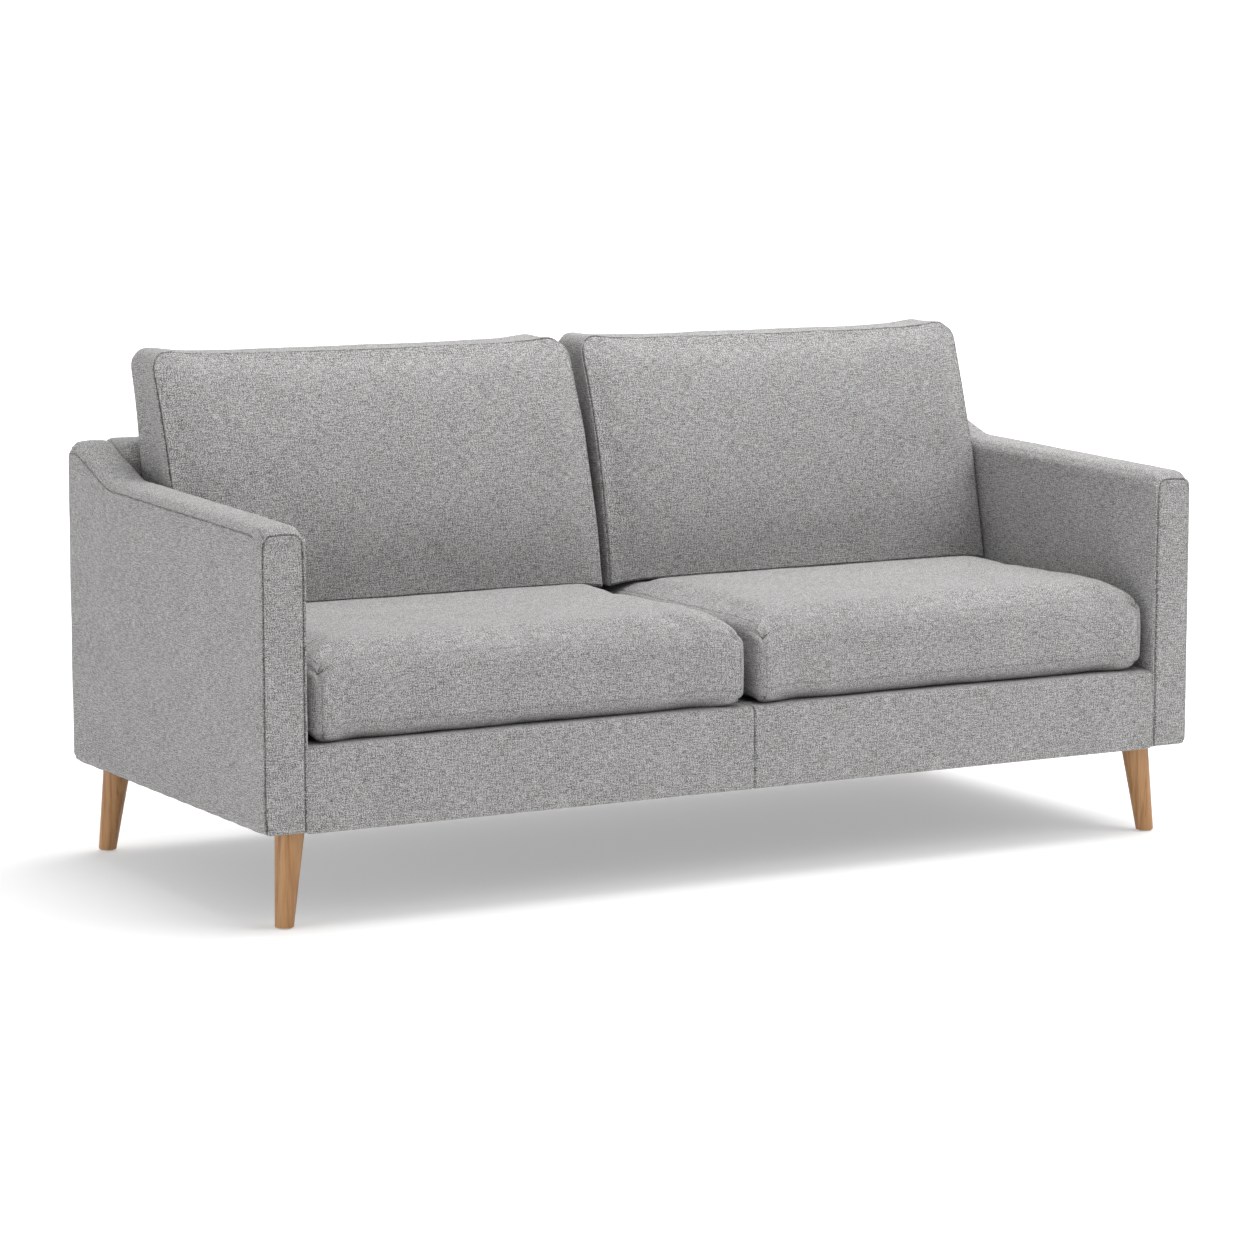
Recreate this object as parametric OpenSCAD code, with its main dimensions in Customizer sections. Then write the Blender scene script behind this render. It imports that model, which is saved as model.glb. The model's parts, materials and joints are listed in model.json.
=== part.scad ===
// Two-seat sofa: timber frame, webbed seat and back, slim upholstered arms,
// four loose cushions and four splayed turned legs.
// X is the width, the front faces -Y, +Z is up. The origin is on the floor at the middle of the plan.

/* [Overall] */
// Width over both arms
sofa_w = 1800; // [1500:10:2300]
// Depth of the arms
arm_depth = 813; // [780:1:860]
// How far the seat cushions stand ahead of the arms
seat_overhang = 12; // [4:1:20]
// Height of the body's underside above the floor
under_z = 160; // [130:1:200]
// Height of the back and of the arms' rear ends
back_top_z = 722; // [710:1:780]
// Height of the back cushions' top
cushion_top_z = 880; // [840:1:940]

/* [Arms] */
// Width of one arm
arm_w = 78; // [70:1:100]
// Height of an arm's top at its front
arm_front_z = 656; // [640:1:670]
// Rise of the arm's top along its straight part
arm_rise = 17; // [5:1:25]
// Distance from the front to where the arm's top starts to sweep up
sweep_start = 605; // [560:1:640]
// Distance from the front to where the sweep ends
sweep_end = 795; // [740:1:800]
// Radius of the top front corner
arm_front_r = 14; // [12:1:20]
// Radius of the top rear corner
arm_rear_r = 18; // [12:1:20]
// Radius of the bottom rear corner
arm_foot_r = 12; // [12:1:20]

/* [Upholstery layers] */
// Thickness of a sewn cover with its backing
cover_t = 2.5; // [1.5:0.5:3]
// Foam over the arms and the front rail
foam_t = 8; // [4:1:8]
// Foam on the inside of the back
back_foam_t = 20; // [10:1:25]
// Thickness of the arm and back boards
board_t = 3; // [2:0.5:4]
// Thickness of elastic webbing
web_t = 2; // [1:0.5:2]

/* [Frame] */
// Thickness of the rails
rail_t = 22; // [18:1:26]
// Thickness of the corner blocks that carry the legs
block_t = 40; // [30:1:45]
// Number of seat straps from front to back
seat_straps = 12; // [8:2:14]
// Number of straps up the back
back_straps = 10; // [6:2:12]

/* [Cushions] */
// Height of the deck that the seat cushions lie on
deck_z = 297.5; // [290:0.5:310]
// Height of the seat cushions' top
seat_z = 447.5; // [420:0.5:455]
// Lean of the back from upright
lean = 12; // [8:1:14]
// Thickness of a back cushion from front to back
back_cushion_t = 122; // [90:1:140]
// Thickness of the cushions' sewn covers
casing_t = 1.5; // [1:0.5:2]

/* [Legs] */
// Distance from the sofa's side to the middle of a foot
foot_in_x = 53.3; // [45:0.1:65]
// Distance from the front to the middle of a front foot
front_foot_in = 46.6; // [42:0.1:60]
// Distance from the rear to the middle of a rear foot
rear_foot_in = 24.8; // [22:0.1:35]
// Sideways shift of a leg from its top to its foot
splay_x = 17.5; // [0:0.5:20]
// Lengthways shift of a leg from its top to its foot
splay_y = 12.9; // [0:0.1:15]
// Radius of a leg at the top
leg_top_r = 24.7; // [20:0.1:28]
// Radius of a leg at the foot
leg_foot_r = 15.4; // [12:0.1:20]

/* [Hidden] */
$fn = 48;
eps = 1;
y_front = -(arm_depth + seat_overhang) / 2 + seat_overhang;
y_back = y_front + arm_depth;
arm_out = sofa_w / 2;
arm_in = arm_out - arm_w;
foam_in = cover_t + foam_t;
core_in = foam_in + board_t;
tuck = 1;
slack = 0.5;
post_gap = 3;
board_drop = 10;
module_x = arm_in - tuck;

frame_z = under_z + 3;
rail_z = frame_z + block_t;
web_z = 284;
felt_z = web_z + 2 * web_t;
cloth_z = deck_z - cover_t;
arm_tuck_z = felt_z;
rail_lip = 3;
lip_depth = 55;
front_rail_y = y_front + foam_in;
front_rail_back = front_rail_y + rail_t;
back_rail_y = y_back - cover_t - board_t - rail_t;
frame_back_y = back_rail_y + rail_t;
side_rail_w = 32;
side_rail_x = arm_in + core_in;
post_w = 45;
back_post_t = 24;
back_post_x = side_rail_x - side_rail_w - back_post_t / 2 - tuck;
back_rail_top_z = back_top_z - cover_t - 13.5;
back_rail_h = 60;
lean_run = tan(lean);
back_top_y = y_front + 708.5;
web_layer = cover_t + back_foam_t;
rail_layer = web_layer + web_t;
post_layer = rail_layer + rail_t;
block_size = 90;
leg_in_x = foot_in_x + splay_x;
front_leg_y = y_front + front_foot_in + splay_y;
rear_leg_y = y_back - rear_foot_in - splay_y;
leg_tilt = atan(norm([splay_x, splay_y]) / under_z);
plate_size = 60;
plate_t = 3;
bolt_r = 4;
glide_t = 2.5;
glide_r = 11;
foot_chamfer = 3;
dust_t = 1;
seat_gap = 1.5;
seat_side_gap = 2.5;
cushion_gap = 0.5;
seat_back_y = back_face_y(deck_z) - 4;
back_x = [6, arm_in - 6];
zip_w = 12;

fabric_grey = [0.60, 0.60, 0.61];
timber = [0.82, 0.68, 0.48];
board_brown = [0.55, 0.42, 0.28];
foam_cream = [0.93, 0.90, 0.78];
webbing_black = [0.15, 0.15, 0.16];
felt_grey = [0.40, 0.40, 0.42];
cloth_grey = [0.30, 0.30, 0.31];
oak = [0.80, 0.58, 0.36];
steel = [0.70, 0.71, 0.73];
glide_white = [0.85, 0.85, 0.83];
zip_grey = [0.35, 0.35, 0.36];

// ---- shape helpers ----

// Y of the inside back's face at a height
function back_face_y(z) = back_top_y - (back_top_z - z) * lean_run;

// Smooth rise from 0 to 1
function ease(t) = t * t * (3 - 2 * t);

// Height of an arm's top at a distance from the front
function arm_top(d) =
  arm_front_z + arm_rise * min(d, sweep_start) / sweep_start
  + (back_top_z - arm_front_z - arm_rise)
    * ease(min(max((d - sweep_start) / (sweep_end - sweep_start), 0), 1));

// Points round a corner
function arc(centre, r, from, to, steps = 6) =
  [for (i = [0:steps]) let (a = from + (to - from) * i / steps) centre + r * [cos(a), sin(a)]];

// Points along the arm's top, sunk by an inset
function top_line(from, to, inset, steps = 16) =
  [for (i = [0:steps]) let (d = from + (to - from) * i / steps) [y_front + d, arm_top(d) - inset]];

// Points of the arm's sweep only, because its front part is straight
function sweep_line(inset) = top_line(sweep_start, arm_depth - arm_rear_r, inset);

// Side view of an arm, inset from its outer face, with its top sunk further by drop, down to floor_z
module arm_outline(inset, floor_z, drop = 0) {
  front_r = max(arm_front_r - inset, 0.5);
  rear_r = max(arm_rear_r - inset, 0.5);
  foot_r = max(arm_foot_r - inset, 0.5);
  y0 = y_front + inset;
  y1 = y_back - inset;
  polygon(concat(
    [[y0, floor_z]],
    arc([y0 + front_r, arm_front_z - inset - drop - front_r], front_r, 180, 90),
    sweep_line(inset + drop),
    arc([y1 - rear_r, back_top_z - inset - drop - rear_r], rear_r, 90, 0),
    arc([y1 - foot_r, floor_z + foot_r], foot_r, 0, -90)
  ));
}

// Band under the arm's top between two distances from the front
module arm_band(from, to, inset, depth) {
  upper = top_line(from, to, inset, 24);
  lower = top_line(from, to, inset + depth, 24);
  polygon(concat(upper, [for (i = [len(lower) - 1:-1:0]) lower[i]]));
}

// Extrudes a side view, drawn in Y and Z, along X
module along_x(x0, x1) {
  translate([x0, 0, 0])
    rotate([90, 0, 90])
      linear_extrude(x1 - x0)
        children();
}

// Box from its two far corners
module block(low, high) {
  translate(low)
    cube(high - low);
}

// Mirrors right-hand work to the left
module on_side(side) {
  if (side < 0)
    mirror([1, 0, 0]) children();
  else
    children();
}

// Slanted band that follows the inside back, between two layers and two heights
module back_band(from, to, z0, z1) {
  polygon([
    [back_face_y(z0) + from, z0], [back_face_y(z0) + to, z0],
    [back_face_y(z1) + to, z1], [back_face_y(z1) + from, z1]
  ]);
}

// ---- timber frame ----

module front_rail() {
  color(timber)
    block([-arm_out + core_in, front_rail_y, frame_z], [arm_out - core_in, front_rail_back, web_z]);
}

// The back rail is notched at its ends for the rear corner blocks
module back_rail() {
  end_x = arm_out - core_in;
  notch_x = arm_out - leg_in_x - block_size / 2;
  color(timber)
    difference() {
      block([-end_x, back_rail_y, frame_z], [end_x, frame_back_y, web_z]);
      for (side = [-1, 1])
        translate([side > 0 ? notch_x : -end_x - eps, back_rail_y - eps, frame_z - eps])
          cube([end_x - notch_x + eps, rail_t + 2 * eps, block_t + eps]);
    }
}

module side_rail(side) {
  color(timber)
    on_side(side)
      difference() {
        block(
          [side_rail_x - side_rail_w, front_rail_back, rail_z],
          [side_rail_x, back_rail_y, web_z + web_t]
        );
        right_frame_screws();
      }
}

module centre_rail() {
  half = 16;
  drop = 8;
  color(timber)
    block([-half, front_rail_back, rail_z], [half, back_rail_y - 34, web_z - drop]);
}

// Corner block over one leg, bored for the hanger bolt and the screws
module right_block(leg_y) {
  y0 = max(leg_y - block_size / 2, front_rail_back);
  y1 = min(leg_y + block_size / 2, frame_back_y);
  x1 = arm_out - core_in;
  difference() {
    block([arm_out - leg_in_x - block_size / 2, y0, frame_z], [x1, y1, rail_z]);
    on_leg(leg_y)
      cylinder(r = bolt_r + 1, h = block_t + 20, center = true);
    plate_screw_set(leg_y);
    right_frame_screws();
  }
}

module corner_blocks() {
  color(timber)
    for (side = [-1, 1])
      on_side(side) {
        right_block(front_leg_y);
        right_block(rear_leg_y);
      }
}

// Countersunk screws that hold the side rail on its two corner blocks
module right_frame_screws() {
  x = side_rail_x - side_rail_w + 7;
  for (y = [front_leg_y + 38, rear_leg_y - 38])
    translate([x, y, frame_z])
      wood_screw(2.5, 75);
}

module wood_screw(r, length) {
  cylinder(r1 = 2 * r, r2 = r, h = r);
  translate([0, 0, r])
    cylinder(r = r, h = length - r);
}

module frame_screws() {
  color(steel)
    for (side = [-1, 1])
      on_side(side)
        right_frame_screws();
}

// Three profiled posts stand on the back rail and carry the back's two rails
module back_posts() {
  foot_w = 34;
  foot_z = rail_z + 3;
  knee_z = deck_z + 3;
  color(timber)
    for (x = [-back_post_x, 0, back_post_x])
      along_x(x - back_post_t / 2, x + back_post_t / 2)
        polygon([
          [back_rail_y - foot_w, foot_z], [back_rail_y, foot_z], [back_rail_y, web_z],
          [frame_back_y, web_z], [frame_back_y, back_rail_top_z],
          [back_face_y(back_rail_top_z) + post_layer, back_rail_top_z],
          [back_face_y(knee_z) + post_layer, knee_z], [back_rail_y - foot_w, knee_z]
        ]);
}

module back_cross_rail(z0) {
  color(timber)
    along_x(-module_x, module_x)
      back_band(rail_layer, post_layer - slack / 5, z0, z0 + back_rail_h);
}

module back_board() {
  color(board_brown)
    block([-module_x, frame_back_y, frame_z], [module_x, frame_back_y + board_t, back_rail_top_z]);
}

// ---- arm frames ----

module arm_posts(side) {
  x0 = arm_in + core_in;
  x1 = arm_out - core_in;
  spans = [[front_rail_back, front_rail_back + post_w], [back_rail_y - post_w, back_rail_y]];
  color(timber)
    on_side(side)
      for (s = spans)
        along_x(x0, x1)
          polygon([
            [s[0], rail_z], [s[1], rail_z],
            [s[1], arm_top(s[1] - y_front) - core_in - rail_t - post_gap],
            [s[0], arm_top(s[0] - y_front) - core_in - rail_t - post_gap]
          ]);
}

module arm_top_rail(side) {
  color(timber)
    on_side(side)
      along_x(arm_in + core_in, arm_out - core_in)
        arm_band(core_in, arm_depth - arm_rear_r, core_in, rail_t);
}

module arm_outer_board(side) {
  color(board_brown)
    on_side(side)
      along_x(arm_out - core_in, arm_out - foam_in)
        arm_outline(foam_in, frame_z, board_drop);
}

module arm_inner_board(side) {
  color(board_brown)
    on_side(side)
      along_x(arm_in + foam_in, arm_in + core_in)
        arm_outline(foam_in, arm_tuck_z + 2, board_drop);
}

// ---- suspension ----

module seat_straps_lengthways() {
  strap_w = 50;
  pitch = 2 * 715 / (seat_straps - 1) * sofa_w / 1800;
  color(webbing_black)
    for (i = [0:seat_straps - 1])
      translate([(i - (seat_straps - 1) / 2) * pitch - strap_w / 2, front_rail_y + 2, web_z])
        cube([strap_w, frame_back_y - front_rail_y - 4, web_t]);
}

module seat_straps_crossways() {
  strap_w = 50;
  color(webbing_black)
    for (i = [0:2])
      translate([-side_rail_x + 2, y_front + 150 + i * 170, web_z + web_t])
        cube([2 * side_rail_x - 4, strap_w, web_t]);
}

module back_webbing() {
  strap_w = 45;
  pitch = 1500 / (back_straps - 1) * sofa_w / 1800;
  color(webbing_black)
    for (i = [0:back_straps - 1])
      let (x = (i - (back_straps - 1) / 2) * pitch)
        along_x(x - strap_w / 2, x + strap_w / 2)
          back_band(web_layer + slack / 2, rail_layer - slack / 2, deck_z + 12, back_rail_top_z - 6);
}

module deck_felt() {
  color(felt_grey)
    block([-module_x, y_front + lip_depth, felt_z], [module_x, back_face_y(felt_z), cloth_z]);
}

module deck_cloth() {
  color(cloth_grey)
    block([-module_x, y_front + lip_depth, cloth_z], [module_x, back_face_y(cloth_z), deck_z]);
}

// ---- fixed upholstery ----

// Foam that wraps an arm's front, top and both sides, open at the rear and below
module arm_foam(side) {
  color(foam_cream)
    on_side(side)
      difference() {
        along_x(arm_in + cover_t, arm_out - cover_t)
          arm_outline(cover_t, under_z);
        along_x(arm_in + foam_in, arm_out - foam_in)
          arm_outline(foam_in, under_z - eps);
        block(
          [arm_in + foam_in, y_back - 2 * foam_in, under_z - eps],
          [arm_out - foam_in, y_back, back_top_z - arm_rear_r]
        );
        block([arm_in, y_front, under_z - eps], [arm_in + foam_in, y_back, arm_tuck_z + 2]);
      }
}

// Sewn arm cover: both sides, the top and the rear. Its inner side is tucked in beside the deck.
module arm_cover(side) {
  color(fabric_grey)
    on_side(side)
      difference() {
        along_x(arm_in, arm_out)
          arm_outline(0, under_z);
        along_x(arm_in + cover_t, arm_out - cover_t)
          arm_outline(cover_t, under_z - 2 * arm_foot_r);
        block(
          [arm_in - eps, y_front - eps, under_z - eps],
          [arm_out + eps, y_front + cover_t, back_top_z]
        );
        block(
          [arm_in - eps, y_front, under_z - eps],
          [arm_in + cover_t, y_back - cover_t, arm_tuck_z]
        );
      }
}

// Boxed front panel, which closes the arm cover's front
module arm_front_panel(side) {
  color(fabric_grey)
    on_side(side)
      intersection() {
        along_x(arm_in, arm_out)
          arm_outline(0, under_z);
        block(
          [arm_in, y_front - eps, under_z],
          [arm_out, y_front + cover_t, back_top_z]
        );
      }
}

module front_rail_foam() {
  color(foam_cream)
    along_x(-module_x, module_x)
      polygon([
        [y_front + cover_t, under_z - 1], [front_rail_y, under_z - 1], [front_rail_y, web_z + web_t],
        [y_front + lip_depth, web_z + web_t], [y_front + lip_depth, cloth_z],
        [y_front + cover_t, cloth_z]
      ]);
}

// Cover of one half of the front rail: front, lip on the deck and return underneath.
// The two halves meet in the seam at the sofa's middle.
module rail_cover(side) {
  low = under_z - rail_lip;
  color(fabric_grey)
    on_side(side)
      along_x(0, arm_in)
        polygon([
          [y_front, low], [y_front + lip_depth / 2, low], [y_front + lip_depth / 2, low + 2],
          [y_front + cover_t, low + 2], [y_front + cover_t, cloth_z],
          [y_front + lip_depth, cloth_z], [y_front + lip_depth, deck_z], [y_front, deck_z]
        ]);
}

module inside_back_foam() {
  color(foam_cream)
    along_x(-module_x, module_x)
      polygon([
        [back_face_y(deck_z) + cover_t, deck_z], [back_face_y(deck_z) + web_layer, deck_z],
        [back_face_y(back_rail_top_z) + web_layer, back_rail_top_z],
        [y_back - cover_t, back_rail_top_z], [y_back - cover_t, back_top_z - cover_t],
        [back_face_y(back_top_z - cover_t) + cover_t, back_top_z - cover_t]
      ]);
}

module inside_back_cover() {
  color(fabric_grey)
    along_x(-module_x, module_x)
      polygon([
        [back_face_y(deck_z), deck_z], [back_face_y(deck_z) + cover_t, deck_z],
        [back_face_y(back_top_z - cover_t) + cover_t, back_top_z - cover_t],
        [y_back, back_top_z - cover_t], [y_back, back_top_z], [back_face_y(back_top_z), back_top_z]
      ]);
}

module outside_back_cover() {
  color(fabric_grey)
    block([-arm_in, y_back - cover_t, under_z], [arm_in, y_back, back_top_z - cover_t]);
}

// Black fabric under the body, with a hole for each hanger bolt
module dust_cover() {
  color(webbing_black)
    difference() {
      block(
        [-arm_out + foam_in, y_front + lip_depth / 2 + 4, under_z - dust_t],
        [arm_out - foam_in, y_back - foam_in, under_z]
      );
      for (side = [-1, 1], leg_y = [front_leg_y, rear_leg_y])
        on_side(side)
          on_leg(leg_y)
            cylinder(r = bolt_r + 1, h = 20, center = true);
    }
}

// ---- legs and their fittings ----

// Places its children on a right-hand leg's axis: z = 0 at the body's underside, and down is out
module on_leg(leg_y) {
  out_y = leg_y < 0 ? -splay_y : splay_y;
  turn = atan2(out_y, splay_x);
  translate([arm_out - leg_in_x, leg_y, under_z])
    rotate([0, 0, turn])
      rotate([0, -leg_tilt, 0])
        children();
}

// Turned leg: a slim taper with a small chamfer round the foot, cut level at both ends
module right_leg(leg_y) {
  length = under_z / cos(leg_tilt);
  reach = 8;
  slope = (leg_top_r - leg_foot_r) / length;
  difference() {
    intersection() {
      on_leg(leg_y)
        union() {
          translate([0, 0, -length + foot_chamfer])
            cylinder(r1 = leg_foot_r, r2 = leg_top_r + slope * reach, h = length + reach);
          translate([0, 0, -length])
            cylinder(r1 = leg_foot_r - foot_chamfer / 2, r2 = leg_foot_r, h = foot_chamfer);
          translate([0, 0, -length - reach])
            cylinder(r = leg_foot_r - foot_chamfer / 2, h = reach);
        }
      translate([arm_out - 200, leg_y - 100, glide_t])
        cube([200, 200, under_z - dust_t - glide_t]);
    }
    on_leg(leg_y)
      translate([0, 0, -36])
        cylinder(r = bolt_r, h = 60);
  }
}

module leg(side, leg_y) {
  color(oak)
    on_side(side)
      right_leg(leg_y);
}

module plate_screw_set(leg_y) {
  reach = plate_size / 2 - 8;
  for (dx = [-reach, reach], dy = [-reach, reach])
    translate([arm_out - leg_in_x + dx, leg_y + dy, under_z])
      wood_screw(2, 22);
}

module leg_plates() {
  color(steel)
    for (side = [-1, 1], leg_y = [front_leg_y, rear_leg_y])
      on_side(side)
        difference() {
          translate([arm_out - leg_in_x - plate_size / 2, leg_y - plate_size / 2, under_z])
            cube([plate_size, plate_size, plate_t]);
          on_leg(leg_y)
            cylinder(r = bolt_r, h = 30, center = true);
          plate_screw_set(leg_y);
        }
}

module plate_screws() {
  color(steel)
    for (side = [-1, 1], leg_y = [front_leg_y, rear_leg_y])
      on_side(side)
        plate_screw_set(leg_y);
}

module hanger_bolts() {
  color(steel)
    for (side = [-1, 1], leg_y = [front_leg_y, rear_leg_y])
      on_side(side)
        on_leg(leg_y)
          translate([0, 0, -36])
            cylinder(r = bolt_r, h = 62);
}

module foot_glides() {
  color(glide_white)
    for (side = [-1, 1], leg_y = [front_leg_y, rear_leg_y])
      let (out_y = leg_y < 0 ? -splay_y : splay_y)
        on_side(side)
          translate([arm_out - foot_in_x, leg_y + out_y, 0])
            cylinder(r = glide_r, h = glide_t);
}

// ---- loose cushions ----

// Side view of a seat cushion, with a bull nose at the front
module seat_profile(inset) {
  nose = 44;
  heel = 16;
  y0 = y_front - seat_overhang + inset;
  y1 = seat_back_y - inset;
  z0 = deck_z + cushion_gap + inset;
  z1 = seat_z - inset;
  rn = nose - inset;
  rh = heel - inset;
  polygon(concat(
    arc([y0 + rn, z0 + rn], rn, 270, 180),
    arc([y0 + rn, z1 - rn], rn, 180, 90),
    arc([y1 - rh, z1 - rh], rh, 90, 0),
    arc([y1 - rh, z0 + rh], rh, 0, -90)
  ));
}

module seat_zip_slot(side, proud) {
  z = (deck_z + seat_z) / 2;
  x = arm_in / 2;
  half = arm_in / 2 - 60;
  on_side(side)
    block(
      [x - half, seat_back_y - casing_t - proud, z - zip_w / 2],
      [x + half, seat_back_y + proud, z + zip_w / 2]
    );
}

module seat_cover(side) {
  color(fabric_grey)
    difference() {
      on_side(side)
        difference() {
          along_x(seat_gap, arm_in - seat_side_gap)
            seat_profile(0);
          along_x(seat_gap + casing_t, arm_in - seat_side_gap - casing_t)
            seat_profile(casing_t);
        }
      seat_zip_slot(side, 0.1);
    }
}

module seat_foam(side) {
  color(foam_cream)
    on_side(side)
      along_x(seat_gap + casing_t, arm_in - seat_side_gap - casing_t)
        seat_profile(casing_t);
}

module seat_zip(side) {
  color(zip_grey)
    seat_zip_slot(side, 0);
}

// Side view of a back cushion: it leans with the back, and stands level on the seat cushion
module back_cushion_profile(inset) {
  gap = cushion_gap;
  z0 = seat_z + gap + inset;
  z1 = cushion_top_z - inset;
  r = 22;
  shift = inset / cos(lean);
  front0 = back_face_y(z0) - gap - back_cushion_t + shift;
  front1 = back_face_y(z1 - r) - gap - back_cushion_t + shift;
  rear0 = back_face_y(z0) - gap - shift;
  rear1 = back_face_y(z1 - r) - gap - shift;
  polygon(concat(
    [[rear0, z0], [front0, z0], [front1, z1 - r]],
    [[front1 + 0.6 * r, z1 - 0.15 * r], [front1 + 1.5 * r, z1]],
    [[rear1 - 0.9 * r, z1], [rear1 - 0.1 * r, z1 - 0.35 * r], [rear1, z1 - r]]
  ));
}

module back_zip_slot(side, proud) {
  x = arm_in / 2;
  half = arm_in / 2 - 70;
  y = back_face_y(seat_z) - 40;
  z = seat_z + cushion_gap;
  on_side(side)
    block([x - half, y - zip_w, z - proud], [x + half, y, z + casing_t + proud]);
}

module back_cushion_cover(side) {
  color(fabric_grey)
    difference() {
      on_side(side)
        difference() {
          along_x(back_x[0], back_x[1])
            back_cushion_profile(0);
          along_x(back_x[0] + casing_t, back_x[1] - casing_t)
            back_cushion_profile(casing_t);
        }
      back_zip_slot(side, 0.1);
    }
}

module back_cushion_filling(side) {
  color(foam_cream)
    on_side(side)
      along_x(back_x[0] + casing_t, back_x[1] - casing_t)
        back_cushion_profile(casing_t);
}

module back_cushion_zip(side) {
  color(zip_grey)
    back_zip_slot(side, 0);
}

front_rail();
back_rail();
side_rail(-1);  // left_side_rail
side_rail(1);  // right_side_rail
centre_rail();
corner_blocks();
frame_screws();
back_posts();
back_cross_rail(back_rail_top_z - back_rail_h);  // back_top_rail
back_cross_rail(deck_z + 3);  // back_lower_rail
back_board();
arm_posts(-1);  // left_arm_posts
arm_posts(1);  // right_arm_posts
arm_top_rail(-1);  // left_arm_top_rail
arm_top_rail(1);  // right_arm_top_rail
arm_outer_board(-1);  // left_arm_outer_board
arm_outer_board(1);  // right_arm_outer_board
arm_inner_board(-1);  // left_arm_inner_board
arm_inner_board(1);  // right_arm_inner_board
seat_straps_lengthways();
seat_straps_crossways();
back_webbing();
deck_felt();
deck_cloth();
arm_foam(-1);  // left_arm_foam
arm_foam(1);  // right_arm_foam
arm_cover(-1);  // left_arm_cover
arm_cover(1);  // right_arm_cover
arm_front_panel(-1);  // left_arm_front_panel
arm_front_panel(1);  // right_arm_front_panel
front_rail_foam();
rail_cover(-1);  // left_rail_cover
rail_cover(1);  // right_rail_cover
inside_back_foam();
inside_back_cover();
outside_back_cover();
dust_cover();
leg(-1, front_leg_y);  // front_left_leg
leg(1, front_leg_y);  // front_right_leg
leg(-1, rear_leg_y);  // rear_left_leg
leg(1, rear_leg_y);  // rear_right_leg
leg_plates();
plate_screws();
hanger_bolts();
foot_glides();
seat_cover(-1);  // left_seat_cover
seat_foam(-1);  // left_seat_foam
seat_zip(-1);  // left_seat_zip
seat_cover(1);  // right_seat_cover
seat_foam(1);  // right_seat_foam
seat_zip(1);  // right_seat_zip
back_cushion_cover(-1);  // left_back_cushion_cover
back_cushion_filling(-1);  // left_back_cushion_filling
back_cushion_zip(-1);  // left_back_cushion_zip
back_cushion_cover(1);  // right_back_cushion_cover
back_cushion_filling(1);  // right_back_cushion_filling
back_cushion_zip(1);  // right_back_cushion_zip
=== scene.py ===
"""A two-seat sofa with slim sweeping arms, four loose cushions and tapered wooden legs.

Everything is in metres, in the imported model's own frame: the front faces -Y and +Z is up.
"""

import json
import math

import bpy
import bmesh
import numpy as np
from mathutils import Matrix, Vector, noise


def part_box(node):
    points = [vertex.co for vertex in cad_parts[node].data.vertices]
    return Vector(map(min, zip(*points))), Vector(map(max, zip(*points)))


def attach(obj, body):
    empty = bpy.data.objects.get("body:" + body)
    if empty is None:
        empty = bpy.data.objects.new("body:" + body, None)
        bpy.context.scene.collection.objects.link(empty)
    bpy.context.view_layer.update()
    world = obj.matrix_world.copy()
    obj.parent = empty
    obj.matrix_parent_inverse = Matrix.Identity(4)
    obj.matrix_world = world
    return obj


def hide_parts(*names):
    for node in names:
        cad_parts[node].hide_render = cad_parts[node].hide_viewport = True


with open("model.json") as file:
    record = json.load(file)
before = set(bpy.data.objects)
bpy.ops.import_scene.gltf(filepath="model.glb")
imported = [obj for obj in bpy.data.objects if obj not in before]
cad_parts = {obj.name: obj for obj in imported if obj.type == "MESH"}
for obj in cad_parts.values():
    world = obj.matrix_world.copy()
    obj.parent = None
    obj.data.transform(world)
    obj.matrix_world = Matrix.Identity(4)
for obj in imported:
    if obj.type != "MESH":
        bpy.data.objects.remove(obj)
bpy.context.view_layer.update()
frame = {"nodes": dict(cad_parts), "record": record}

MM = 0.001
WELD = 0.01 * MM
TINY = 0.001 * MM
BODY = "sofa_body"
LEFT, RIGHT = -1, 1
SIDE_NAMES = {LEFT: "left", RIGHT: "right"}

# ---- driving sizes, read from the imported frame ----

arm_low, arm_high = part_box("right_arm_cover")
panel_low, panel_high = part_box("right_arm_front_panel")
rail_low, rail_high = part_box("right_rail_cover")
back_low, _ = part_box("inside_back_cover")
dust_low, dust_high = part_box("dust_cover")
deck_low, deck_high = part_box("deck_cloth")
felt_low, felt_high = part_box("deck_felt")
seat_low, seat_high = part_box("right_seat_cover")
cushion_low, cushion_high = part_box("right_back_cushion_cover")

FRONT_Y, BACK_Y = panel_low.y, arm_high.y
ARM_IN, ARM_OUT = arm_low.x, arm_high.x
ARM_W = ARM_OUT - ARM_IN
UNDER_Z, BACK_TOP_Z = arm_low.z, arm_high.z
ARM_FRONT_Z = panel_high.z
DECK_Z = deck_high.z
LEAN = math.tan(math.radians(12))
LEAN_DEPTH = back_low.y

# The arm's top line, as the CAD model has it
ARM_RISE = 17 * MM
SWEEP_START, SWEEP_END = 605 * MM, 795 * MM

# How far cloth is drawn in at its deepest seam
SEAM_DEPTH = 3.0 * MM


def mm(*lengths):
    return tuple(length * MM for length in lengths)


def back_face_y(z):
    """Y of the inside back's face at a height."""
    return LEAN_DEPTH + (z - back_low.z) * LEAN


def smoothstep(t):
    t = np.clip(t, 0, 1)
    return t * t * (3 - 2 * t)


def soft_min(value, limit, width):
    """The smaller of value and limit, blended over a width so that no edge shows."""
    over = (value - limit) / width
    eased = np.where(over < -1, value, limit - width * (1 - np.clip(over, -1, 1)) ** 2 / 4)
    return np.where(over > 1, limit, eased)


def soft_max(value, limit, width):
    return -soft_min(-value, -limit, width)


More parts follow.
